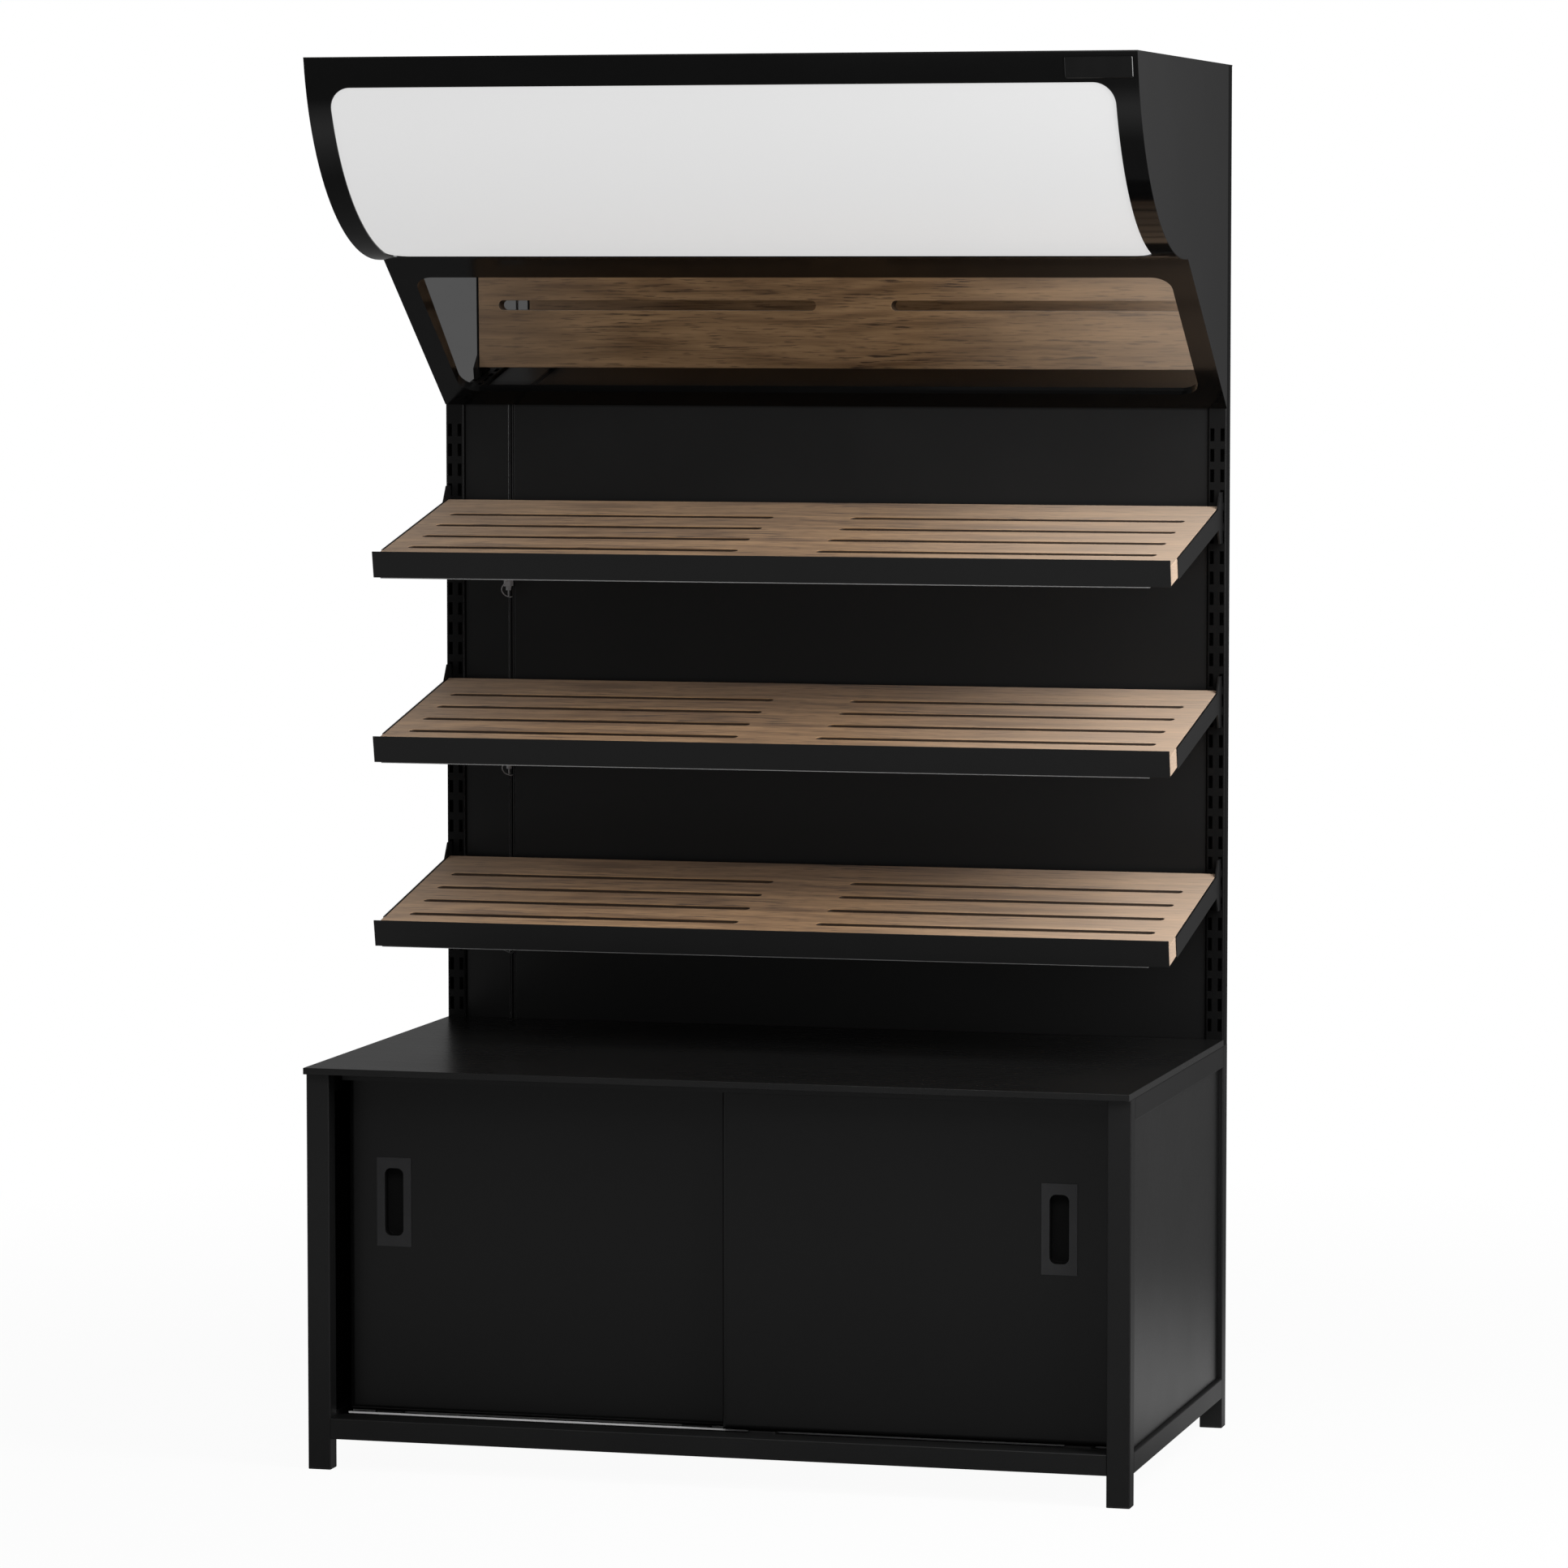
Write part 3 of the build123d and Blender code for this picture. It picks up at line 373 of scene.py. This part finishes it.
@dataclass(frozen=True)
class OiledOak:
    """Plain-sawn oak: growth rings, fibres and open pores along X, with painted shade inside the
    crumb slots and a paler painted highlight toward both ends.

    Its own coordinates start at the top face's rear edge, and both across the board and through it
    they are negative inside.
    """

    name: str
    tilt: float
    origin: Triple
    depth: float
    thickness: float

    pale: Colour = (0.475, 0.282, 0.138)
    brown: Colour = (0.150, 0.076, 0.030)
    figure_ramp: Span = (0.18, 1.05)
    ring_warp: Grain = Grain.along_x(1.4, 7.5, 2.0, 0.45)
    rings_across: float = 120.0
    rings_down: float = 1250.0
    rings_by_warp: float = 52.0
    ring_share: float = 0.24
    streaks: Grain = Grain.along_x(3.6, 78.0, 4.0, 0.62)
    streak_ramp: Span = (0.36, 0.66)
    streak_share: float = 0.40
    fibres: Grain = Grain.along_x(8.0, 420.0, 3.0, 0.7)
    fibre_ramp: Span = (0.3, 0.72)
    fibre_share: float = 0.32
    bands: Grain = Grain.along_x(1.7, 27.0, 3.0)
    band_ramp: Span = (0.40, 0.62)
    band_share: float = 0.30

    pore: Colour = (0.030, 0.012, 0.005)
    pore_share: float = 0.9
    dashes: Grain = Grain.along_x(24.0, 400.0)
    dash_ramp: Span = (0.57, 0.66)
    dash_share: float = 0.6
    cracks: Grain = Grain.along_x(10.0, 190.0, 3.0, 0.6)
    crack_ramp: Span = (0.56, 0.62)
    crack_bands: Grain = Grain.along_x(3.2, 28.0)
    crack_band_ramp: Span = (0.45, 0.60)

    # Painted highlight: the wood turns paler toward both ends, where the side lamps light it most,
    # more so on the right.
    painted_highlight: Colour = (0.64, 0.50, 0.39)
    right_highlight_share: float = 0.56
    right_light_reach: Span = (0.10, 0.64)
    left_highlight_share: float = 0.24
    left_light_reach: Span = (0.36, 0.64)

    # Painted shade on the walls of the crumb slots, where little light reaches.
    slot_shade_tone: Colour = (0.016, 0.008, 0.004)
    slot_shade_share: float = 0.94
    slot_end: float = 0.61
    slot_end_ramp: Span = (0.0, 0.002)
    edge_ramp: Span = (0.02, 0.024)
    face_ramp: Span = (0.0004, 0.0012)
    deep_ramp: Span = (0.003, 0.008)
    deep_loss: float = 0.35

    relief: float = 0.00014
    relief_strength: float = 0.5
    pore_relief: float = 0.8
    fibre_relief: float = 0.25
    roughness: float = 0.46
    fibre_roughness: float = 0.14
    pore_roughness: float = 0.2
    specular: float = 0.4
    sheen: float = 0.10

    def material(self) -> bpy.types.Material:
        """Makes the material."""
        sheet = FinishSheet(self.name)
        lengthwise, across, up = sheet.axes(sheet.mapped(UNSCALED, *self._laid()))
        fibres = self._noise(sheet, self.fibres)
        pores = self._pores(sheet)
        figure = self._figure(sheet, fibres, across, up)
        wood = sheet.blend(figure.above(*self.figure_ramp), self.pale, self.brown)
        wood = sheet.blend(pores * self.pore_share, wood, self.pore)
        # Paler toward the ends: the painted highlight of the side lamps.
        right_highlight = lengthwise.above(*self.right_light_reach) * self.right_highlight_share
        left_highlight = (-lengthwise).above(*self.left_light_reach) * self.left_highlight_share
        wood = sheet.blend(right_highlight + left_highlight, wood, self.painted_highlight)
        # Painted shade down in the crumb slots.
        wood = sheet.blend(self._painted_slot_shade(sheet, lengthwise, across, up), wood, self.slot_shade_tone)
        height = 1 - pores * self.pore_relief + fibres * self.fibre_relief
        sheet.bump(height, self.relief, self.relief_strength)
        return sheet.finish(
            Base_Color=wood,
            Roughness=self.roughness + fibres * self.fibre_roughness + pores * self.pore_roughness,
            Specular_IOR_Level=self.specular,
            Sheen_Weight=self.sheen,
        )

    def _laid(self) -> tuple[Triple, Triple]:
        """The turn and the shift that lead from the rack's coordinates to the board's own."""
        return (self.tilt, 0.0, 0.0), self.origin

    def _noise(self, sheet: FinishSheet, grain: Grain) -> Value:
        """Noise in the board's own coordinates."""
        return sheet.noise(grain, *self._laid())

    def _figure(self, sheet: FinishSheet, fibres: Value, across: Value, up: Value) -> Value:
        """How brown the wood is: its rings, streaks, fibres and wide bands together.

        Args:
            sheet: The oak's nodes.
            fibres: The noise of the fibres.
            across: The place across the board.
            up: The place along the board's thickness.

        Returns:
            The share of brown, before its ramp.
        """
        streaks = self._noise(sheet, self.streaks).above(*self.streak_ramp)
        bands = self._noise(sheet, self.bands).above(*self.band_ramp)
        figure = self._rings(sheet, across, up) * self.ring_share + streaks * self.streak_share
        return figure + fibres.above(*self.fibre_ramp) * self.fibre_share + bands * self.band_share

    def _rings(self, sheet: FinishSheet, across: Value, up: Value) -> Value:
        """Growth rings: layers nearly parallel to the faces, bent by a slow warp."""
        warp = self._noise(sheet, self.ring_warp)
        layers = across * self.rings_across + up * self.rings_down + warp * self.rings_by_warp
        return sheet.maths("SINE", layers) * 0.5 + 0.5

    def _pores(self, sheet: FinishSheet) -> Value:
        """Short dark pores, and longer ones in loose bands."""
        dashes = self._noise(sheet, self.dashes).above(*self.dash_ramp)
        cracks = self._noise(sheet, self.cracks).above(*self.crack_ramp)
        bands = self._noise(sheet, self.crack_bands).above(*self.crack_band_ramp)
        return sheet.maths("MINIMUM", dashes * self.dash_share + cracks * bands, 1.0)

    def _painted_slot_shade(self, sheet: FinishSheet, lengthwise: Value, across: Value, up: Value) -> Value:
        """How much painted shade the walls of the crumb slots get: most near their top, less
        further down.

        Args:
            sheet: The oak's nodes.
            lengthwise: The place along the board.
            across: The place across the board.
            up: The place along the board's thickness.

        Returns:
            The share of the painted slot shade, 0 outside them.
        """
        down = -up
        between_faces = down.above(*self.face_ramp) * (up + self.thickness).above(*self.face_ramp)
        front_of_rear = (-across).above(*self.edge_ramp)
        behind_front = (across + self.depth).above(*self.edge_ramp)
        from_middle = sheet.maths("ABSOLUTE", lengthwise)
        inside_ends = (self.slot_end - from_middle).above(*self.slot_end_ramp)
        share = self.slot_shade_share - down.above(*self.deep_ramp) * self.deep_loss
        return between_faces * (front_of_rear * behind_front) * inside_ends * share


@dataclass(frozen=True)
class CompactLaminate:
    """Matt black laminate of the worktop with a fine pressed texture."""

    name: str
    tone: float = 0.0075
    gains: Span = (0.9, 1.15)
    roughness: float = 0.28
    specular: float = 0.42
    clouds: Grain = Grain.even(3.0, 4.0)
    cloud_ramp: Span = (0.3, 0.7)
    cloud_swing: float = 0.08
    rubbing: Grain = Grain((7.0, 160.0, 7.0), 3.0)
    rubbing_swing: float = 0.05
    pressed: Grain = Grain.even(1400.0)
    pressed_height: float = 0.00006
    pressed_strength: float = 0.4

    def material(self) -> bpy.types.Material:
        """Makes the material."""
        sheet = FinishSheet(self.name)
        clouds = sheet.noise(self.clouds)
        rubbed = sheet.noise(self.rubbing).swing(self.rubbing_swing)
        sheet.bump(sheet.noise(self.pressed), self.pressed_height, self.pressed_strength)
        return sheet.finish(
            Base_Color=sheet.blend(clouds.above(*self.cloud_ramp), *greys(self.tone, self.gains)),
            Roughness=self.roughness + clouds.swing(self.cloud_swing) + rubbed,
            Specular_IOR_Level=self.specular,
        )


@dataclass(frozen=True)
class MouldedPlastic:
    """Moulded plastic with a spark-eroded grain."""

    name: str
    colour: Colour
    roughness: float = 0.5
    grain_height: float = 0.00005
    specular: float = 0.4
    grain: Grain = Grain.even(1900.0)
    grain_strength: float = 0.5
    grain_swing: float = 0.15
    flow: Grain = Grain((30.0, 30.0, 12.0), 3.0)
    flow_ramp: Span = (0.3, 0.7)
    gains: Span = (0.85, 1.15)

    def material(self) -> bpy.types.Material:
        """Makes the material."""
        sheet = FinishSheet(self.name)
        grain = sheet.noise(self.grain)
        flow = sheet.noise(self.flow).above(*self.flow_ramp)
        darker, lighter = (times(self.colour, gain) for gain in self.gains)
        sheet.bump(grain, self.grain_height, self.grain_strength)
        return sheet.finish(
            Base_Color=sheet.blend(flow, darker, lighter),
            Roughness=self.roughness + grain.swing(self.grain_swing),
            Specular_IOR_Level=self.specular,
        )


@dataclass(frozen=True)
class PullPlastic:
    """A pull's plastic: dark grey on the flange, with painted shade that makes it nearly black
    down in the cup.
    """

    name: str
    face_y: float
    flange: Colour = (0.026, 0.026, 0.027)
    rubbed_flange: Colour = (0.034, 0.034, 0.035)
    rubbing: Grain = Grain((60.0, 60.0, 25.0), 3.0)
    rubbing_ramp: Span = (0.4, 0.7)
    rubbing_share: float = 0.25
    # Painted shade: the recessed cup is coloured nearly black.
    cup_shade: Colour = (0.0008, 0.0008, 0.0008)
    cup_ramp: Span = (0.0012, 0.0024)
    cup_roughness: float = 0.35
    grain: Grain = Grain.even(1900.0)
    grain_height: float = 0.00005
    grain_strength: float = 0.5
    grain_swing: float = 0.12
    roughness: float = 0.42
    specular: float = 0.25

    def material(self) -> bpy.types.Material:
        """Makes the material."""
        sheet = FinishSheet(self.name)
        _, depth, _ = sheet.axes(sheet.place)
        # Painted shade down in the cup, from the pull's face inwards.
        cup_shade = (depth - self.face_y).above(*self.cup_ramp)
        grain = sheet.noise(self.grain)
        rubbed = sheet.noise(self.rubbing).above(*self.rubbing_ramp) * self.rubbing_share
        flange = sheet.blend(rubbed, self.flange, self.rubbed_flange)
        sheet.bump(grain, self.grain_height, self.grain_strength)
        return sheet.finish(
            Base_Color=sheet.blend(cup_shade, flange, self.cup_shade),
            Roughness=self.roughness + cup_shade * self.cup_roughness + grain.swing(self.grain_swing),
            Specular_IOR_Level=self.specular,
        )


@dataclass(frozen=True)
class DrawnAluminium:
    """Extruded aluminium with draw lines along X, bare behind a depth and above a height, and dark
    painted shade in front of and below them.
    """

    name: str
    tone: float
    roughness: float
    metallic: float = 1.0
    bare_behind: float = BEFORE_THE_RACK
    bare_above: float = BELOW_THE_RACK
    fade: float = 0.0003
    # Dark colour of the painted shade where the metal is not bare.
    painted_shade: Colour = (0.006, 0.006, 0.006)
    gains: Span = (1.0, 0.88)
    stains: Grain = Grain.along_x(9.0, 40.0, 4.0)
    stain_ramp: Span = (0.35, 0.7)
    lines: Grain = Grain.along_x(3.0, 2500.0)
    line_swing: float = 0.18
    line_height: float = 0.00002
    line_strength: float = 0.4

    def material(self) -> bpy.types.Material:
        """Makes the material."""
        sheet = FinishSheet(self.name)
        lines = sheet.noise(self.lines)
        stains = sheet.noise(self.stains).above(*self.stain_ramp)
        _, depth, height = sheet.axes(sheet.place)
        behind = depth.above(self.bare_behind, self.bare_behind + self.fade)
        bare = behind * height.above(self.bare_above, self.bare_above + self.fade)
        metal = sheet.blend(stains, *greys(self.tone, self.gains))
        sheet.bump(lines, self.line_height, self.line_strength)
        return sheet.finish(
            Base_Color=sheet.blend(bare, self.painted_shade, metal),
            Metallic=bare * self.metallic,
            Roughness=self.roughness + lines.swing(self.line_swing),
        )


@dataclass(frozen=True)
class OpalAcrylic:
    """Opal acrylic of the light sign: even, faintly glowing, with a soft cloudiness."""

    name: str
    tone: float = 0.20
    gains: Span = (0.985, 1.0)
    glow: float = 0.59
    glow_colour: Colour = (1.0, 1.0, 1.0)
    roughness: float = 0.36
    specular: float = 0.25
    clouds: Grain = Grain.even(2.5)
    cloud_ramp: Span = (0.3, 0.7)
    dust: Grain = Grain.even(500.0, 1.0)
    dust_swing: float = 0.08
    dust_height: float = 0.00001
    dust_strength: float = 0.2

    def material(self) -> bpy.types.Material:
        """Makes the material."""
        sheet = FinishSheet(self.name)
        clouds = sheet.noise(self.clouds).above(*self.cloud_ramp)
        dust = sheet.noise(self.dust)
        sheet.bump(dust, self.dust_height, self.dust_strength)
        return sheet.finish(
            Base_Color=sheet.blend(clouds, *greys(self.tone, self.gains)),
            Roughness=self.roughness + dust.swing(self.dust_swing),
            Specular_IOR_Level=self.specular,
            Emission_Color=self.glow_colour,
            Emission_Strength=self.glow,
        )


@dataclass(frozen=True)
class SilveredGlass:
    """The mirror: silvered glass with a little dust."""

    name: str
    tone: float = 0.56
    gains: Span = (1.0, 0.96)
    roughness: float = 0.015
    dust: Grain = Grain.even(12.0, 5.0)
    dust_ramp: Span = (0.4, 0.8)
    dull_ramp: Span = (0.5, 0.9)
    dull_gain: float = 0.02

    def material(self) -> bpy.types.Material:
        """Makes the material."""
        sheet = FinishSheet(self.name)
        dust = sheet.noise(self.dust)
        return sheet.finish(
            Base_Color=sheet.blend(dust.above(*self.dust_ramp), *greys(self.tone, self.gains)),
            Metallic=1.0,
            Roughness=dust.above(*self.dull_ramp) * self.dull_gain + self.roughness,
        )


def dress(name: str, material: bpy.types.Material) -> None:
    """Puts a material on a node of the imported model.

    Args:
        name: The node's name.
        material: The finish that it gets.
    """
    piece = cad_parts[name]
    piece.data.materials.clear()
    piece.data.materials.append(material)
    log.info("dressed %s in %s", name, material.name)


@dataclass
class Cabinet:
    """The base: legs, rails, panels, floor, worktop and door tracks."""

    frame_coat: PowderCoat = PowderCoat("frame_powder_coat", 0.0062, 0.40)
    panel_coat: PowderCoat = PowderCoat("side_panel_powder_coat", 0.0046, 0.28, specular=0.30)
    worktop_finish: CompactLaminate = CompactLaminate("worktop_laminate")
    cap_plastic: MouldedPlastic = MouldedPlastic("cap_plastic", (0.011, 0.011, 0.011))
    # Near-white and barely metallic: the ribs' top edge is a painted highlight, and the rest of
    # the track gets painted shade.
    track_tone: float = 1.0
    track_roughness: float = 0.30
    track_metallic: float = 0.1
    front_rib: float = 0.004
    highlight_edge: float = 0.0027
    ends: tuple[str, ...] = ("front", "rear")
    levels: tuple[str, ...] = ("bottom", "top")
    cross_pieces: tuple[str, ...] = (
        "rail_front_bottom",
        "rail_rear_bottom",
        "rail_rear_top",
        "cabinet_back",
        "cabinet_floor",
        "track_top",
    )

    def build(self) -> None:
        """Dresses the cabinet's fixed nodes."""
        coat = self.frame_coat.material()
        panel = self.panel_coat.material()
        for side in Side:
            for end in self.ends:
                dress(f"leg_{end}_{side.value}", coat)
            for level in self.levels:
                dress(f"rail_{side.value}_{level}", coat)
            dress(f"side_panel_{side.value}", panel)
        for piece in self.cross_pieces:
            dress(piece, coat)
        dress("worktop", self.worktop_finish.material())
        dress("track_bottom", self._track_finish().material())
        dress("leg_caps", self.cap_plastic.material())

    def _track_finish(self) -> DrawnAluminium:
        """The bottom track's finish: a near-white painted highlight at the top of the ribs behind
        the front one, and painted shade elsewhere, where the doors shade it.
        """
        low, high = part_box("track_bottom")
        return DrawnAluminium(
            "track_aluminium",
            self.track_tone,
            self.track_roughness,
            self.track_metallic,
            bare_behind=low.y + self.front_rib,
            bare_above=high.z - self.highlight_edge,
        )


@dataclass
class SlidingDoors:
    """The two doors with their finger pulls and glides."""

    door_coat: PowderCoat = PowderCoat("door_powder_coat", 0.0034, 0.34)
    glide_plastic: MouldedPlastic = MouldedPlastic("glide_plastic", (0.012, 0.012, 0.012), 0.35)

    def build(self) -> None:
        """Dresses each door's nodes."""
        coat = self.door_coat.material()
        slide = self.glide_plastic.material()
        for side in Side:
            dress(f"door_{side.value}", coat)
            face_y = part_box(f"pull_{side.value}")[0].y
            pull = PullPlastic(f"pull_plastic_{side.value}", face_y)
            dress(f"pull_{side.value}", pull.material())
            dress(f"glides_{side.value}", slide)


@dataclass
class BackWall:
    """Uprights, back panels and the power rail."""

    upright_coat: PowderCoat = PowderCoat("upright_powder_coat", 0.0026, 0.50, specular=0.15)
    panel_coat: PowderCoat = PowderCoat("back_panel_powder_coat", 0.0042, 0.34)
    rail_plastic: MouldedPlastic = MouldedPlastic("power_rail_plastic", (0.010, 0.010, 0.010), 0.4)

    def build(self) -> None:
        """Dresses the wall's nodes."""
        coat = self.upright_coat.material()
        for side in Side:
            dress(f"upright_{side.value}", coat)
        panel = self.panel_coat.material()
        dress("back_panel", panel)
        dress("back_panel_narrow", panel)
        dress("power_rail", self.rail_plastic.material())


@dataclass
class Shelf:
    """One tilted shelf: oak board, front strip, brackets and light bar.

    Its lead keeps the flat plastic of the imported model.
    """

    number: int
    tilt: float = radians(11.5)
    board_depth: float = 0.3891
    board_thickness: float = 0.030
    strip_coat: PowderCoat = PowderCoat("strip_powder_coat", 0.0034, 0.45)
    bracket_coat: PowderCoat = PowderCoat("bracket_powder_coat", 0.008, 0.36, specular=0.28)
    housing: DrawnAluminium = DrawnAluminium("light_bar_aluminium", 0.50, 0.35, metallic=0.5)

    def build(self) -> None:
        """Dresses the shelf's nodes."""
        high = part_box(f"shelf_board_{self.number}")[1]
        origin = (0.0, high.y - self.board_thickness * sin(self.tilt), high.z)
        size = (self.board_depth, self.board_thickness)
        oak = OiledOak(f"oak_{self.number}", -self.tilt, origin, *size)
        dress(f"shelf_board_{self.number}", oak.material())
        dress(f"shelf_strip_{self.number}", self.shared(self.strip_coat))
        for side in Side:
            dress(f"bracket_{side.value}_{self.number}", self.shared(self.bracket_coat))
        dress(f"light_bar_{self.number}", self.shared(self.housing))
        log.info("light_lead_%s keeps its packed plastic", self.number)

    @staticmethod
    def shared(finish: Finish) -> bpy.types.Material:
        """A finish's material, made once for all the shelves."""
        return bpy.data.materials.get(finish.name) or finish.material()


@dataclass
class Canopy:
    """Cheeks, top, curved sign frame, opal panel, mirror and its frame."""

    satin_coat: PowderCoat = PowderCoat("cheek_powder_coat", 0.0095, 0.36)
    gloss: GlossEnamel = GlossEnamel("canopy_gloss")
    opal: OpalAcrylic = OpalAcrylic("sign_opal")
    mirror: SilveredGlass = SilveredGlass("mirror_glass")
    badge_plastic: MouldedPlastic = MouldedPlastic(
        "badge_plastic", (0.004, 0.004, 0.004), 0.16, grain_height=0.00001, specular=0.5
    )
    lamp_housing: DrawnAluminium = DrawnAluminium("lamp_aluminium", 0.6, 0.35)
    gland_plastic: MouldedPlastic = MouldedPlastic("gland_plastic", (0.012, 0.012, 0.012), 0.35)

    def build(self) -> None:
        """Dresses the canopy's nodes."""
        satin = self.satin_coat.material()
        for side in Side:
            dress(f"cheek_{side.value}", satin)
        dress("canopy_top", satin)
        gloss = self.gloss.material()
        dress("sign_frame", gloss)
        dress("mirror_frame", gloss)
        dress("sign_panel", self.opal.material())
        dress("mirror", self.mirror.material())
        dress("badge_plate", self.badge_plastic.material())
        housing = self.lamp_housing.material()
        dress("sign_lights", housing)
        dress("power_supply", housing)
        dress("cord_gland", self.gland_plastic.material())


@dataclass(frozen=True)
class Lamp:
    """A soft lamp that looks at a point."""

    name: str
    place: Triple
    target: Triple
    width: float
    height: float
    power: float

    def build(self) -> None:
        """Adds the lamp to the scene."""
        light = bpy.data.lights.new(self.name, "AREA")
        light.shape = "RECTANGLE"
        light.size = self.width
        light.size_y = self.height
        light.energy = self.power
        lamp = bpy.data.objects.new(self.name, light)
        lamp.location = self.place
        sight = Vector(self.target) - Vector(self.place)
        lamp.rotation_euler = sight.to_track_quat("-Z", "Y").to_euler()
        bpy.context.scene.collection.objects.link(lamp)
        log.info("lamp %s", self.name)


@dataclass
class Studio:
    """Pale floor, white surroundings and soft lamps."""

    floor_half: float = 30.0
    floor_tone: float = 0.70
    floor_roughness: float = 0.9
    shadow_share: float = 0.05
    shadow_reach: Span = (1.3, 3.2)
    room_tone: float = 0.20

    # What glossy surfaces see of the floor: a bright ring in front, a pool on the rear right.
    gloss_tone: float = 0.15
    pool_tone: float = 0.48
    pool_start: Span = (1.4, 2.2)
    pool_end: Span = (2.5, 3.5)
    rear_pool_tone: float = 0.30
    rear_pool_end: Span = (1.1, 2.2)
    behind_reach: Span = (0.0, 0.5)
    right_light_reach: Span = (-0.2, 0.4)

    # What glossy surfaces see of the room: dark on the left, bright on the rear left.
    left_shade: float = 0.85
    left_lean: float = 0.05
    left_ramp: Span = (0.21, 0.34)
    rear_left_gain: float = 0.62
    rear_left_ramp: Span = (0.05, 0.3)
    rear_right_shade: float = 0.22
    rear_right_ramp: Span = (0.6, 1.0)

    lamps: tuple[Lamp, ...] = (
        Lamp("lamp_right", (2.1, -0.8, 2.1), (0.4, 0.0, 1.2), width=1.0, height=2.4, power=78.0),
        Lamp("lamp_left", (-3.2, -1.2, 2.0), (-0.4, 0.0, 1.2), width=1.2, height=2.4, power=18.0),
        Lamp("lamp_front", (0.4, -4.6, 4.2), (0.0, 0.0, 0.9), width=3.0, height=2.0, power=70.0),
        Lamp("lamp_low", (0.2, -4.6, 1.0), (0.0, 0.3, 0.7), width=2.6, height=0.8, power=2.0),
    )

    def build(self) -> None:
        """Makes the floor, the room and the lamps."""
        self._floor()
        self._room()
        for lamp in self.lamps:
            lamp.build()
        bpy.context.scene.view_settings.view_transform = "Standard"

    def _floor(self) -> None:
        """A plain floor that the camera sees as nearly white, with the rack's shadow."""
        half = self.floor_half
        mesh = bpy.data.meshes.new("studio_floor")
        corners = [(-half, -half, 0.0), (half, -half, 0.0), (half, half, 0.0), (-half, half, 0.0)]
        mesh.from_pydata(corners, [], [(0, 1, 2, 3)])
        floor = bpy.data.objects.new("studio_floor", mesh)
        bpy.context.scene.collection.objects.link(floor)
        sheet = FinishSheet("studio_floor")
        sheet.finish(
            Base_Color=(self.floor_tone,) * 3,
            Roughness=self.floor_roughness,
            Specular_IOR_Level=0.0,
        )
        rays = sheet.node("ShaderNodeLightPath", {}, {})
        glossy = Value(sheet, rays.outputs["Is Glossy Ray"])
        direct = sheet.direct(rays)
        length = {"operation": "LENGTH"}
        reach = sheet.value("ShaderNodeVectorMath", length, {0: sheet.place}, "Value")
        tone = direct + glossy * (self._pools(sheet, reach) + self.gloss_tone)
        white = sheet.node("ShaderNodeEmission", {}, {"Color": sheet.grey(tone), "Strength": 1.0})
        far = reach.above(*self.shadow_reach) * self.shadow_share + (1 - self.shadow_share)
        mix = sheet.node("ShaderNodeMixShader", {}, {0: direct * far + glossy})
        sheet.feed(mix.inputs[1], sheet.surface.outputs[0])
        sheet.feed(mix.inputs[2], white.outputs[0])
        sheet.feed(sheet.output.inputs["Surface"], mix.outputs[0])
        mesh.materials.append(sheet.material)
        log.info("studio floor")

    def _pools(self, sheet: FinishSheet, reach: Value) -> Value:
        """How much brighter the floor is to glossy surfaces, in front and on the rear right.

        Args:
            sheet: The floor's nodes.
            reach: The distance from the rack's middle.

        Returns:
            The brightness.
        """
        east, north, _ = sheet.axes(sheet.place)
        behind = north.above(*self.behind_reach)
        right = east.above(*self.right_light_reach)
        ring = reach.above(*self.pool_start) * (1 - reach.above(*self.pool_end))
        near = 1 - reach.above(*self.rear_pool_end)
        return ring * (1 - behind) * self.pool_tone + near * behind * right * self.rear_pool_tone

    def _room(self) -> None:
        """White to the camera, and an even soft light on the rack."""
        world = bpy.data.worlds.new("studio_room")
        bpy.context.scene.world = world
        world.use_nodes = True
        sheet = NodeSheet(world.node_tree)
        rays = sheet.node("ShaderNodeLightPath", {}, {})
        diffuse = Value(sheet, rays.outputs["Is Diffuse Ray"])
        glossy = Value(sheet, rays.outputs["Is Glossy Ray"])
        ways = sheet.node("ShaderNodeTexCoord", {}, {})
        east, north, _ = sheet.axes(ways.outputs["Generated"])
        west = -east
        dark = (west - north * self.left_lean).above(*self.left_ramp) * self.left_shade
        bright = (west * north).above(*self.rear_left_ramp) * self.rear_left_gain
        shaded = (north - west).above(*self.rear_right_ramp) * self.rear_right_shade
        gloss = glossy * self.gloss_tone * (1 - dark + bright - shaded)
        tone = sheet.direct(rays) + diffuse * self.room_tone + gloss
        sheet.feed(sheet.nodes["Background"].inputs["Color"], sheet.grey(tone))


@dataclass(frozen=True)
class StudioCamera:
    """The camera at the photograph's place, looking down at the rack's middle."""

    place: Triple = (2.608, -9.750, 1.820)
    turn: float = radians(14.888)
    down: float = radians(4.449)
    lens: float = 150.66
    sensor: float = 36.0
    far: float = 100.0

    def build(self) -> None:
        """Adds the camera and makes it the scene's own."""
        data = bpy.data.cameras.new("studio_camera")
        data.lens = self.lens
        data.sensor_width = self.sensor
        data.clip_end = self.far
        camera = bpy.data.objects.new("studio_camera", data)
        camera.location = self.place
        camera.rotation_euler = (pi / 2 - self.down, 0.0, self.turn)
        bpy.context.scene.collection.objects.link(camera)
        bpy.context.scene.camera = camera
        log.info("camera")


def main() -> None:
    """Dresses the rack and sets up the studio."""
    logging.basicConfig(level=logging.INFO, format="%(name)s: %(message)s")
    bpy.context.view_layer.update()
    Cabinet().build()
    SlidingDoors().build()
    BackWall().build()
    for number in (1, 2, 3):
        Shelf(number).build()
    Canopy().build()
    Studio().build()
    StudioCamera().build()


if __name__ == "__main__":
    main()
